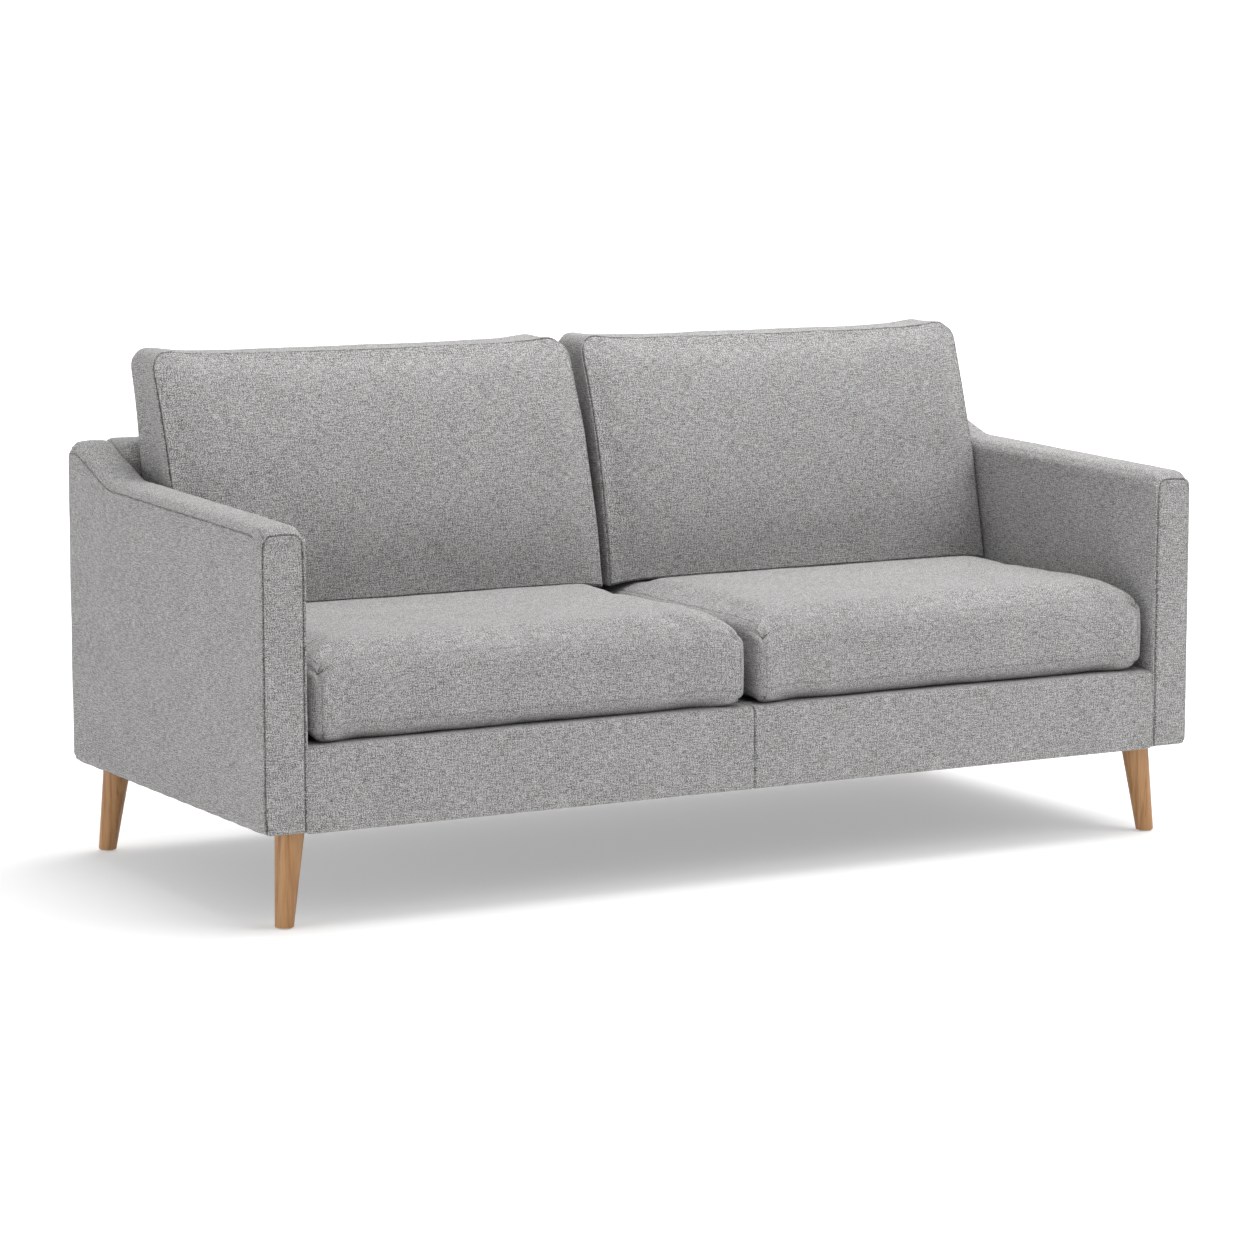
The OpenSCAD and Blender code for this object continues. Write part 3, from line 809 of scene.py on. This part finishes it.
def smooth_line(corners, radii, cell=8 * MM):
    """A line of (y, z) points through corners that are rounded by radii, about a cell apart."""
    pts = [Vector(c) for c in corners]
    line = [pts[0]]
    for before, corner, after, r in zip(pts, pts[1:], pts[2:], radii):
        to_before, to_after = (before - corner).normalized(), (after - corner).normalized()
        half_angle = to_before.angle(to_after) / 2
        reach = r / math.tan(half_angle)
        start, end = corner + to_before * reach, corner + to_after * reach
        centre = corner + (to_before + to_after).normalized() * (r / math.sin(half_angle))
        steps = max(2, round(math.degrees(math.pi - 2 * half_angle) / 12))
        line += divided(line[-1], start, cell)
        for k in range(1, steps + 1):
            blend = (start - centre).lerp(end - centre, k / steps)
            line.append(centre + blend.normalized() * r)
    line += divided(line[-1], pts[-1], cell)
    return [tuple(p) for p in line]


def divided(start, end, cell):
    count = max(1, round((end - start).length / cell))
    return [start.lerp(end, k / count) for k in range(1, count + 1)]


def rail_profile(inset=0.0):
    """Side view of the front rail's cloth: lip on the deck, front and return underneath."""
    front, low, high = FRONT_Y + inset, rail_low.z + inset, rail_high.z - inset
    lip = rail_high.y
    return smooth_line(
        [(front + 30 * MM, low), (front, low), (front, high), (lip, high), (lip, high - 3 * MM)],
        [5 * MM, 9 * MM, 1.2 * MM],
    )


def rail_cover(side):
    """One half of the front rail's cover, sewn to the other at the sofa's middle."""
    name = SIDE_NAMES[side]
    ob = sweep_profile(
        f"{name}_rail_cover_cloth", side, rail_profile(), (0.0, ARM_IN + 9 * MM), FABRIC, 1.8 * MM, 13 * MM
    )
    co = coords(ob)
    bulge = np.sin(math.pi * np.clip((co[:, 2] - rail_low.z) / (rail_high.z - rail_low.z), 0, 1))
    co[:, 1] -= 1.6 * MM * bulge * (co[:, 1] < FRONT_Y + 3 * MM)
    set_coords(ob, co)
    rumple(ob, 0.8 * MM, (0.13, 0.05, 0.05), 12 + side, above_hem(ob))
    finish_piece(ob, BODY, "upholstery_fabric", f"{name}_rail_cover")


def rail_padding():
    """Foam under the front rail's cover, over its whole width."""
    ob = whole_width("front_rail_padding", rail_profile(3.5 * MM), ARM_IN - 1 * MM, CREAM_FOAM)
    finish_piece(ob, BODY, "foam", "front_rail_foam")


def whole_width(name, profile, reach, material, roll=0.0):
    """Carries a side view to both sides of the sofa's middle, as one mesh without a seam."""
    span = (0.0, reach)
    ob, other = (sweep_profile(name, side, profile, span, material, roll=roll) for side in (LEFT, RIGHT))
    bm = bmesh.new()
    for part in (ob, other):
        bm.from_mesh(part.data)
    bmesh.ops.remove_doubles(bm, verts=bm.verts, dist=WELD)
    bm.to_mesh(ob.data)
    bm.free()
    bpy.data.objects.remove(other)
    return ob


def back_profile(inset=0.0):
    """Side view of the inside back's cloth: up the leaning face and over the top."""
    low_z, top = back_low.z, BACK_TOP_Z - inset
    face = (back_face_y(low_z) + inset, low_z)
    crest = (back_face_y(BACK_TOP_Z) + inset, top)
    rear = BACK_Y - inset
    return smooth_line([face, crest, (rear, top), (rear, top - 12 * MM)], [17 * MM, 10 * MM])


def inside_back():
    """Cloth over the inside of the back and its top."""
    ob = whole_width("inside_back_cloth", back_profile(), ARM_IN + 12 * MM, FABRIC, roll=18 * MM)
    rumple(ob, 1.0 * MM, 0.12, 21)
    finish_piece(ob, BODY, "upholstery_fabric", "inside_back_cover")


def back_padding():
    """Foam under the inside back's cloth."""
    ob = whole_width("inside_back_padding", back_profile(4 * MM), ARM_IN - 2 * MM, CREAM_FOAM)
    finish_piece(ob, BODY, "foam", "inside_back_foam")


def outside_back():
    """The plain rear panel, drawn in at its seams and puffed a little between them."""
    low, high = (-ARM_IN, UNDER_Z), (ARM_IN, BACK_TOP_Z - 11 * MM)
    xs, zs = spaced(low[0], high[0], 12 * MM, FINE), spaced(low[1], high[1], 12 * MM, FINE)
    x, z = np.meshgrid(xs, zs, indexing="ij")
    to_side = np.minimum(x - low[0], high[0] - x)
    rim = np.minimum(to_side, high[1] - z)
    grid = np.stack([x, np.full_like(x, BACK_Y), z], -1)
    grid[..., 1] += 3 * MM * smoothstep(rim / 0.12) - bottom_roll(z - UNDER_Z)
    panels = Panels()
    panels.add(grid, np.stack([x, z], -1), seam_dip(rim), flip=True)
    under_y = BACK_Y - np.array([0.0, 12 * MM, 34 * MM]) - bottom_roll(np.zeros(1))
    ux, uy = np.meshgrid(xs, under_y, indexing="ij")
    fold = np.stack([ux, uy, np.full_like(ux, UNDER_Z)], -1)
    panels.add(fold, np.stack([ux, uy], -1), 0.0, flip=False)
    ob = panels.build("outside_back_cloth", FABRIC)
    sew(ob)
    rumple(ob, 1.1 * MM, 0.16, 25, above_hem(ob))
    finish_piece(ob, BODY, "upholstery_fabric", "outside_back_cover")


def bottom_roll(height, r=7 * MM):
    """How far a wall is drawn in where it rounds over to the underside."""
    t = np.clip(1 - height / r, 0, 1)
    return r * (1 - np.sqrt(1 - t * t))


def rim_distance(a, b, a_range, b_range):
    """How far places of a rectangle are from its nearest side."""
    (a0, a1), (b0, b1) = a_range, b_range
    return np.minimum(np.minimum(a - a0, a1 - a), np.minimum(b - b0, b1 - b))


def flat_grid(low, high, cell_x, cell_y):
    """Places (x, y) over a flat cloth, and how far each is from its rim."""
    xs, ys = spaced(low.x, high.x, cell_x, FINE), spaced(low.y, high.y, cell_y, FINE)
    x, y = np.meshgrid(xs, ys, indexing="ij")
    return x, y, rim_distance(x, y, (low.x, high.x), (low.y, high.y))


def dust_cover():
    """Black cloth stapled under the body, puckered between its staples and sagging a little."""
    low, high = dust_low, dust_high
    x, y, to_rim = flat_grid(low, high, 14 * MM, 14 * MM)
    staple_pitch = 60 * MM
    pucker = np.sin(x * math.tau / staple_pitch) * np.sin(y * math.tau / staple_pitch)
    sag = 3.5 * MM * smoothstep(to_rim / 0.25) + 0.4 * MM * pucker * np.exp(-to_rim / (30 * MM))
    hem = -0.5 * MM * smoothstep(1 - np.abs(to_rim - 12 * MM) / (4 * MM))
    grid = np.stack([x, y, high.z - 0.6 * MM - sag + hem], -1)
    panels = Panels()
    panels.add(grid, np.stack([x, y], -1), 0.0, flip=True)
    ob = panels.build("dust_cover_cloth", DUST_CLOTH)
    sew(ob)
    finish_piece(ob, BODY, "dust_fabric", "dust_cover")


def deck_cloth():
    """Cloth over the felt, dished a little by the webbing."""
    low, high = deck_low, deck_high
    x, y, to_rim = flat_grid(low, high, 16 * MM, 14 * MM)
    dish = 1.2 * MM * smoothstep(to_rim / 0.15)
    grid = np.stack([x, y, high.z - 0.2 * MM - dish], -1)
    panels = Panels()
    panels.add(grid, np.stack([x, y], -1), 0.0)
    cloth = panels.build("deck_cloth_sheet", DECK_CLOTH)
    sew(cloth)
    rumple(cloth, 0.3 * MM, 0.1, 31)
    finish_piece(cloth, BODY, "deck_fabric", "deck_cloth")


def deck_felt():
    """The felt pad under the deck cloth."""
    axes = (
        spaced(felt_low.x, felt_high.x, 25 * MM, FINE[:2]),
        spaced(felt_low.y, felt_high.y, 25 * MM, FINE[:2]),
        np.linspace(felt_low.z, felt_high.z - 2 * MM, 4),
    )
    top = felt_high.z - 2 * MM
    edge = mm(2, 2, 2, 2)

    def shape(p):
        return round_block(p, felt_low, (felt_high.x, felt_high.y, top), edge, edge, edge)

    panels = Panels()
    box_faces(panels, axes, ALL_FACES, shape)
    felt = panels.build("deck_felt_pad", FELT)
    sew(felt)
    finish_piece(felt, BODY, "felt", "deck_felt")


# ---- loose cushions ----

GAP = 0.5 * MM
PRESSURE = 4.0
CLOTH_FRAMES = 20
HOLD_REACH = 20 * MM


def swell(ob, cap, hold):
    """Fills a closed cover as a cushion: cloth under pressure, each point's move softly capped.

    hold is 1 where the cloth keeps its place, such as along seams, and 0 where it is free.
    """
    start = coords(ob)
    mod = ob.modifiers.new("Cloth", "CLOTH")
    cloth = mod.settings
    cloth.quality = 5
    cloth.mass = 0.4
    cloth.tension_stiffness = cloth.compression_stiffness = 25
    cloth.shear_stiffness = 8
    cloth.bending_stiffness = 3
    cloth.use_pressure = True
    cloth.uniform_pressure_force = PRESSURE
    cloth.effector_weights.gravity = 0
    mod.collision_settings.use_collision = False
    mod.point_cache.frame_start, mod.point_cache.frame_end = 1, CLOTH_FRAMES
    for number in range(1, CLOTH_FRAMES + 1):
        bpy.context.scene.frame_set(number)
    end = coords(ob.evaluated_get(bpy.context.evaluated_depsgraph_get()))
    ob.modifiers.clear()
    bpy.context.scene.frame_set(1)
    move = end - start
    size = np.maximum(np.linalg.norm(move, axis=1, keepdims=True), 1e-9)
    move *= cap * np.tanh(size / cap) / size
    set_coords(ob, start + move * (1 - hold(start))[:, None])


SEAT_END_SEAM = 8 * MM
SEAT_LOWER_SEAM = 27 * MM
SEAT_CORNER_DROP = 14 * MM
SEAT_FINE_X = mm(2, 4.5, 6.8, 8, 9.2, 11.5, 15, 20)
SEAT_FINE_Z = mm(2, 4.5, 8, 12, 17, 21.5, 25.5, 27, 28.5, 32)


def seat_cushion(side):
    """Seat cushion with a bull nose: foam-filled cover, crowned on top and flat below."""
    name = SIDE_NAMES[side]
    low = Vector((seat_low.x + 3 * MM, seat_low.y + 4 * MM, DECK_Z + GAP))
    high = Vector((seat_high.x - 2 * MM, seat_high.y - 4 * MM, seat_high.z - 9 * MM))
    axes = (
        spaced(low.x, high.x, 12 * MM, SEAT_FINE_X),
        spaced(low.y, high.y, 12 * MM, FINE[:4]),
        spaced(low.z, high.z, 12 * MM, SEAT_FINE_Z),
    )

    def shape(p):
        q = round_block(
            p,
            low,
            high,
            xy=mm(24, 30, 12, 12),
            xz=mm(22, 28, 22, 22),
            yz=mm(30, 16, 42, 18),
        )
        to_end = np.minimum(p[..., 0] - low.x, high.x - p[..., 0])
        near_end = np.clip(1 - to_end / (80 * MM), 0, 1) ** 2
        near_front = np.clip(1 - (p[..., 1] - low.y) / (130 * MM), 0, 1) ** 2
        height = (p[..., 2] - low.z) / (high.z - low.z)
        q[..., 2] -= SEAT_CORNER_DROP * near_end * near_front * height**2
        return q

    def dip(p):
        to_end = np.minimum(p[..., 0] - low.x, high.x - p[..., 0])
        from_bull_nose = p[..., 1] - low.y + high.z - p[..., 2]
        ends = seam_dip(to_end - SEAT_END_SEAM, 0.9 * MM, 2.0 * MM)
        ends = ends * smoothstep((from_bull_nose - 20 * MM) / (50 * MM))
        in_front = p[..., 1] < low.y + TINY
        upper = seam_dip(from_bull_nose, 0.5 * MM, 2.0 * MM)
        lower = seam_dip(p[..., 2] - low.z - SEAT_LOWER_SEAM, 0.9 * MM, 2.0 * MM)
        across = np.where(in_front, upper + lower, upper) * (to_end > SEAT_END_SEAM)
        return np.where(to_end > TINY, np.maximum(ends, across), 0)

    panels = Panels(side)
    box_faces(panels, axes, ALL_FACES, shape, dip)
    ob = panels.build(f"{name}_seat_cushion_cloth", FABRIC)

    def hold(co):
        x = np.abs(co[:, 0])
        to_end = np.minimum(x - low.x, high.x - x)
        return 0.55 * np.exp(-np.clip(to_end, 0, None) / HOLD_REACH)

    swell(ob, 24 * MM, hold)
    settle_seat(ob)
    subdivide(ob)
    body = f"{name}_seat_cushion"
    core(ob, f"{name}_seat_cushion_foam", CREAM_FOAM, body, "foam", f"{name}_seat_foam", 0.95)
    sew(ob)
    rumple(ob, 0.9 * MM, 0.11, 41 + 3 * side)
    co = coords(ob)
    co[:, 2] = np.maximum(co[:, 2], DECK_Z + GAP)
    set_coords(ob, co)
    zip_low, zip_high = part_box(f"{name}_seat_zip")
    z = (zip_low.z + zip_high.z) / 2
    rear = rear_face(ob, (zip_low.x, zip_high.x), z)
    start, end = (zip_low.x, rear, z), (zip_high.x, rear, z)
    zip_fastener(f"{name}_seat_cushion_zip", start, end, (0, 1, 0), body, f"{name}_seat_zip")
    finish_piece(ob, body, "upholstery_fabric", f"{name}_seat_cover")


def rear_face(ob, x_range, z):
    """Y of a cushion's rear face beside a line."""
    co = coords(ob)
    near = (co[:, 0] > x_range[0]) & (co[:, 0] < x_range[1]) & (np.abs(co[:, 2] - z) < 0.01)
    return float(np.median(co[near & (co[:, 1] > np.median(co[:, 1])), 1])) + 0.2 * MM


def settle_seat(ob):
    """Rests the cushion on the deck, under the back cushion and between its neighbours."""
    co = coords(ob)
    x = np.abs(co[:, 0])
    floor = DECK_Z + GAP
    co[:, 2] = np.maximum(co[:, 2], floor)
    under_back = smoothstep((co[:, 1] - 50 * MM) / (50 * MM))
    limit = seat_high.z + 14 * MM * (1 - under_back) - 1.5 * MM * under_back
    co[:, 2] = soft_min(co[:, 2], limit, 6 * MM)
    co[:, 1] = soft_min(co[:, 1], seat_high.y - 1 * MM, 4 * MM)
    co[:, 1] = soft_max(co[:, 1], seat_low.y - 3 * MM, 5 * MM)
    x = soft_min(x, seat_high.x - 0.3 * MM, 3 * MM)
    x = soft_max(x, seat_low.x + 0.3 * MM, 3 * MM)
    co[:, 0] = np.sign(co[:, 0]) * x
    set_coords(ob, co)


CORE_INSET = 6 * MM


def core(cover, name, material, body, slot, node_name, fill):
    """What fills a cushion: its cover's form before it is sewn, drawn in a little."""
    ob = new_object(name, cover.data.copy())
    ob.data.materials[0] = material
    set_coords(ob, coords(ob) - normals(ob) * CORE_INSET)
    ob.data.attributes.remove(ob.data.attributes["dip"])
    finish_piece(ob, body, slot, node_name)


def zip_fastener(name, start, end, out, body, node_name):
    """A closed zip from start to end: two tapes, interlocking teeth, a slider with its pull and end stops."""
    start, end, out = Vector(start), Vector(end), Vector(out)
    along = (end - start).normalized()
    across = out.cross(along)
    length = (end - start).length
    bm = bmesh.new()

    def brick(centre, size, bevel, slot_index):
        made = bmesh.ops.create_cube(bm, size=1.0)
        verts = made["verts"]
        for v in verts:
            local = v.co.copy()
            v.co = centre + along * local.x * size[0] + across * local.y * size[1] + out * local.z * size[2]
        edges = list({e for v in verts for e in v.link_edges})
        made = bmesh.ops.bevel(bm, geom=edges, offset=bevel, segments=2, affect="EDGES", profile=0.6)
        for face in {f for v in made["verts"] for f in v.link_faces}:
            face.material_index = slot_index
            face.smooth = True

    middle = (start + end) / 2
    for hand in (-1, 1):
        brick(middle + across * hand * 3.4 * MM, (length, 5.2 * MM, 0.5 * MM), 0.2 * MM, 1)
    pitch = 3.2 * MM
    for k in range(int((length - 12 * MM) / pitch)):
        place = start + along * (6 * MM + k * pitch)
        hand = 1 if k % 2 else -1
        brick(place + across * hand * 0.7 * MM + out * 0.5 * MM, mm(2.2, 3.2, 1.3), 0.4 * MM, 0)
    slider = start + along * 9 * MM
    brick(slider + out * 1.2 * MM, mm(9, 7, 2.4), 0.8 * MM, 2)
    brick(slider + along * 13 * MM + out * 2.2 * MM, mm(20, 4.5, 1.0), 0.4 * MM, 2)
    for place in (start + along * 2 * MM, end - along * 2 * MM):
        brick(place + out * 0.6 * MM, mm(3, 5, 1.6), 0.5 * MM, 2)
    mesh = bpy.data.meshes.new(name)
    bm.to_mesh(mesh)
    bm.free()
    for material in (ZIP, TAPE, STEEL):
        mesh.materials.append(material)
    finish_piece(new_object(name, mesh), body, "zip", node_name)


BACK_DEPTH = 106 * MM
BACK_BELLY = 14 * MM
BACK_SHIFT = {LEFT: 2 * MM, RIGHT: 5 * MM}
INNER_FULLNESS = 40 * MM
OUTER_FULLNESS = {LEFT: 36 * MM, RIGHT: 25 * MM}
FOOT_SPREAD = {LEFT: 4 * MM, RIGHT: 9 * MM}
FOOT_SAG = 9 * MM
# From where up a back cushion stands free of the arms, and how softly it widens there
FREE_Z, FREE_BLEND = 0.69, 50 * MM
CORNER_REACH = 120 * MM


def back_cushion(side):
    """Back cushion: boxed, with a full front panel, soft top corners and a flat rear."""
    name = SIDE_NAMES[side]
    shift = BACK_SHIFT[side]
    low = Vector((cushion_low.x + shift, 0.0, cushion_low.z + 1 * MM))
    high = Vector((cushion_high.x + shift, BACK_DEPTH, cushion_high.z + 3 * MM))
    axes = (
        spaced(low.x, high.x, 12 * MM, FINE),
        spaced(0, BACK_DEPTH, 12 * MM, FINE[:4]),
        spaced(low.z, high.z, 12 * MM, FINE),
    )

    def shape(p):
        q = round_block(
            p,
            low,
            high,
            xy=mm(8, 8, 12, 12),
            xz=mm(5, 5, 36, 36),
            yz=mm(6, 12, 8, 12),
        )
        outward = (p[..., 0] - low.x) / (high.x - low.x)
        up = (p[..., 2] - low.z) / (high.z - low.z)
        forward = 1 - p[..., 1] / BACK_DEPTH
        fullness = INNER_FULLNESS + (OUTER_FULLNESS[side] - INNER_FULLNESS) * outward
        foot = 1 - 0.15 * (1 - np.clip(up / 0.25, 0, 1)) ** 2
        q[..., 1] -= fullness * forward * foot * (1 - 1.25 * up**3)
        belly = (1 - np.abs(2 * outward - 1) ** 4) * foot * (1 - up**2.2)
        q[..., 1] -= BACK_BELLY * belly * forward**2
        q[..., 0] -= FOOT_SPREAD[side] * (1 - up) * (1 - outward)
        q[..., 2] -= FOOT_SAG * np.abs(2 * outward - 1) ** 9 * (1 - up) ** 8
        q[..., 1] += back_face_y(q[..., 2]) - 1.0 * MM - BACK_DEPTH
        return q

    def to_rim(x, z):
        return rim_distance(x, z, (low.x, high.x), (low.z, high.z))

    def dip(p):
        rim = to_rim(p[..., 0], p[..., 2])
        front = np.where(p[..., 1] < TINY, rim, p[..., 1])
        rear = np.where(p[..., 1] > BACK_DEPTH - TINY, rim, BACK_DEPTH - p[..., 1])
        return seam_dip(np.minimum(front, rear), 2.7 * MM, 2.0 * MM)

    panels = Panels(side)
    box_faces(panels, axes, ALL_FACES, shape, dip)
    ob = panels.build(f"{name}_back_cushion_cloth", FABRIC)

    def hold(co):
        x, z = np.abs(co[:, 0]), co[:, 2]
        ahead = back_face_y(z) - co[:, 1]
        boxing = np.minimum(ahead, BACK_DEPTH - ahead)
        from_seam = np.clip(np.maximum(to_rim(x, z), boxing), 0, None)
        foot = 1 - smoothstep((z - low.z) / (160 * MM))
        return np.maximum(0.8 * np.exp(-from_seam / HOLD_REACH), 0.8 * foot)

    swell(ob, 14 * MM, hold)
    settle_back(ob)
    subdivide(ob)
    body = f"{name}_back_cushion"
    filling = f"{name}_back_cushion_filling"
    core(ob, f"{name}_back_cushion_fill", FIBRE_FILL, body, "foam", filling, 0.8)
    sew(ob)
    rumple(ob, 1.6 * MM, 0.13, 51 + 3 * side)
    zip_low, zip_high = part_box(f"{name}_back_cushion_zip")
    y, z = (zip_low.y + zip_high.y) / 2, cushion_low.z + 0.4 * MM
    start, end = (zip_low.x, y, z), (zip_high.x, y, z)
    zip_fastener(f"{name}_back_cushion_fastener", start, end, (0, 0, -1), body, f"{name}_back_cushion_zip")
    finish_piece(ob, body, "upholstery_fabric", f"{name}_back_cushion_cover")


def settle_back(ob):
    """Rests the cushion on the seat and against the inside back, and lifts its soft top corners."""
    co = coords(ob)
    x = np.abs(co[:, 0])
    middle, half = (cushion_low.x + cushion_high.x) / 2, (cushion_high.x - cushion_low.x) / 2
    floor = cushion_low.z + 0.5 * MM - FOOT_SAG * np.clip(np.abs((x - middle) / half), 0, 1) ** 9
    co[:, 2] = soft_max(co[:, 2], floor, 3 * MM)
    co[:, 1] = soft_min(co[:, 1], back_face_y(co[:, 2]) - 1 * MM, 4 * MM)
    above_arm = smoothstep((co[:, 2] - FREE_Z) / FREE_BLEND)
    x = soft_min(x, ARM_IN - 0.5 * MM + 7 * MM * above_arm, 4 * MM)
    x = soft_max(x, 0.5 * MM, 3 * MM)
    co[:, 0] = np.sign(co[:, 0]) * x
    top = smoothstep((co[:, 2] - (cushion_high.z - CORNER_REACH)) / CORNER_REACH)
    ears = np.abs((x - middle) / half) ** 6
    co[:, 2] += top * (5 * MM * ears - 4 * MM * (1 - ears))
    set_coords(ob, co)


# ---- the studio ----


STAGE_FRONT, STAGE_REAR, STAGE_HALF = -10.0, 9.0, 10.0
STAGE_CURVE, STAGE_TOP = 2.0, 4.0
STAGE_TURN = math.radians(-29.3)
WORLD_LIGHT = 0.49
# Each lamp's name, place, target, size and power
LAMPS = (
    ("key_light", (3.3, -3.4, 3.8), (0, 0, 0.4), 3.2, 88),
    ("top_light", (1.1, 0.3, 4.6), (0.2, 0, 0), 4.6, 264),
    ("side_light", (-4.2, -0.9, 0.5), (-0.9, 0, 0.4), 2.0, 42),
)
# The camera as it was fitted to the photo's straight edges
CAMERA_PLACE = (-3.4989, -6.1872, 1.3855)
CAMERA_PITCH, CAMERA_TURN = math.radians(81.974), math.radians(-29.343)
LENS, SENSOR = 117.3, 36


def stage_floor():
    """A pale floor that curves up behind."""
    rear, curve = STAGE_REAR, STAGE_CURVE
    profile = [(STAGE_FRONT, 0.0), (rear, 0.0)]
    for angle in np.radians(np.arange(7.5, 90.1, 7.5)):
        profile.append((rear + curve * math.sin(angle), curve * (1 - math.cos(angle))))
    profile.append((rear + curve, STAGE_TOP))
    xs = np.linspace(-STAGE_HALF, STAGE_HALF, 13)
    grid = np.array([[(x, y, z) for y, z in profile] for x in xs])
    panels = Panels()
    panels.add(grid, grid[:, :, :2])
    floor = panels.build("studio_floor", stage_white())
    floor.rotation_euler = (0, 0, STAGE_TURN)


def studio():
    """The floor, soft lights and the camera."""
    stage_floor()
    world = bpy.data.worlds.new("studio")
    bpy.context.scene.world = world
    world.use_nodes = True
    background = world.node_tree.nodes["Background"]
    background.inputs["Color"].default_value = (1, 1, 1, 1)
    background.inputs["Strength"].default_value = WORLD_LIGHT
    for lamp in LAMPS:
        softbox(*lamp)

    camera = bpy.data.cameras.new("camera")
    camera.lens, camera.sensor_width = LENS, SENSOR
    ob = bpy.data.objects.new("camera", camera)
    ob.location = CAMERA_PLACE
    ob.rotation_euler = (CAMERA_PITCH, 0, CAMERA_TURN)
    bpy.context.scene.collection.objects.link(ob)
    bpy.context.scene.camera = ob
    bpy.context.scene.view_settings.view_transform = "Standard"


def softbox(name, place, target, size, power):
    light = bpy.data.lights.new(name, "AREA")
    light.shape, light.size, light.energy = "SQUARE", size, power
    ob = bpy.data.objects.new(name, light)
    ob.location = place
    ob.rotation_euler = (Vector(target) - Vector(place)).to_track_quat("-Z", "Y").to_euler()
    bpy.context.scene.collection.objects.link(ob)


# ---- build ----


def dress_cad_nodes():
    """Gives every CAD node its own material by the record's slots."""
    slot_of = {part["node"]: part["material_slot"] for part in frame["record"]["subparts"]}
    for node_name, ob in frame["nodes"].items():
        material = CAD_MATERIALS[slot_of[node_name]]
        ob.data.materials.clear()
        ob.data.materials.append(material)


studio()
dress_cad_nodes()
for side in (LEFT, RIGHT):
    arm_covers(side)
    arm_padding(side)
    rail_cover(side)
    seat_cushion(side)
    back_cushion(side)
rail_padding()
inside_back()
back_padding()
outside_back()
dust_cover()
deck_cloth()
deck_felt()
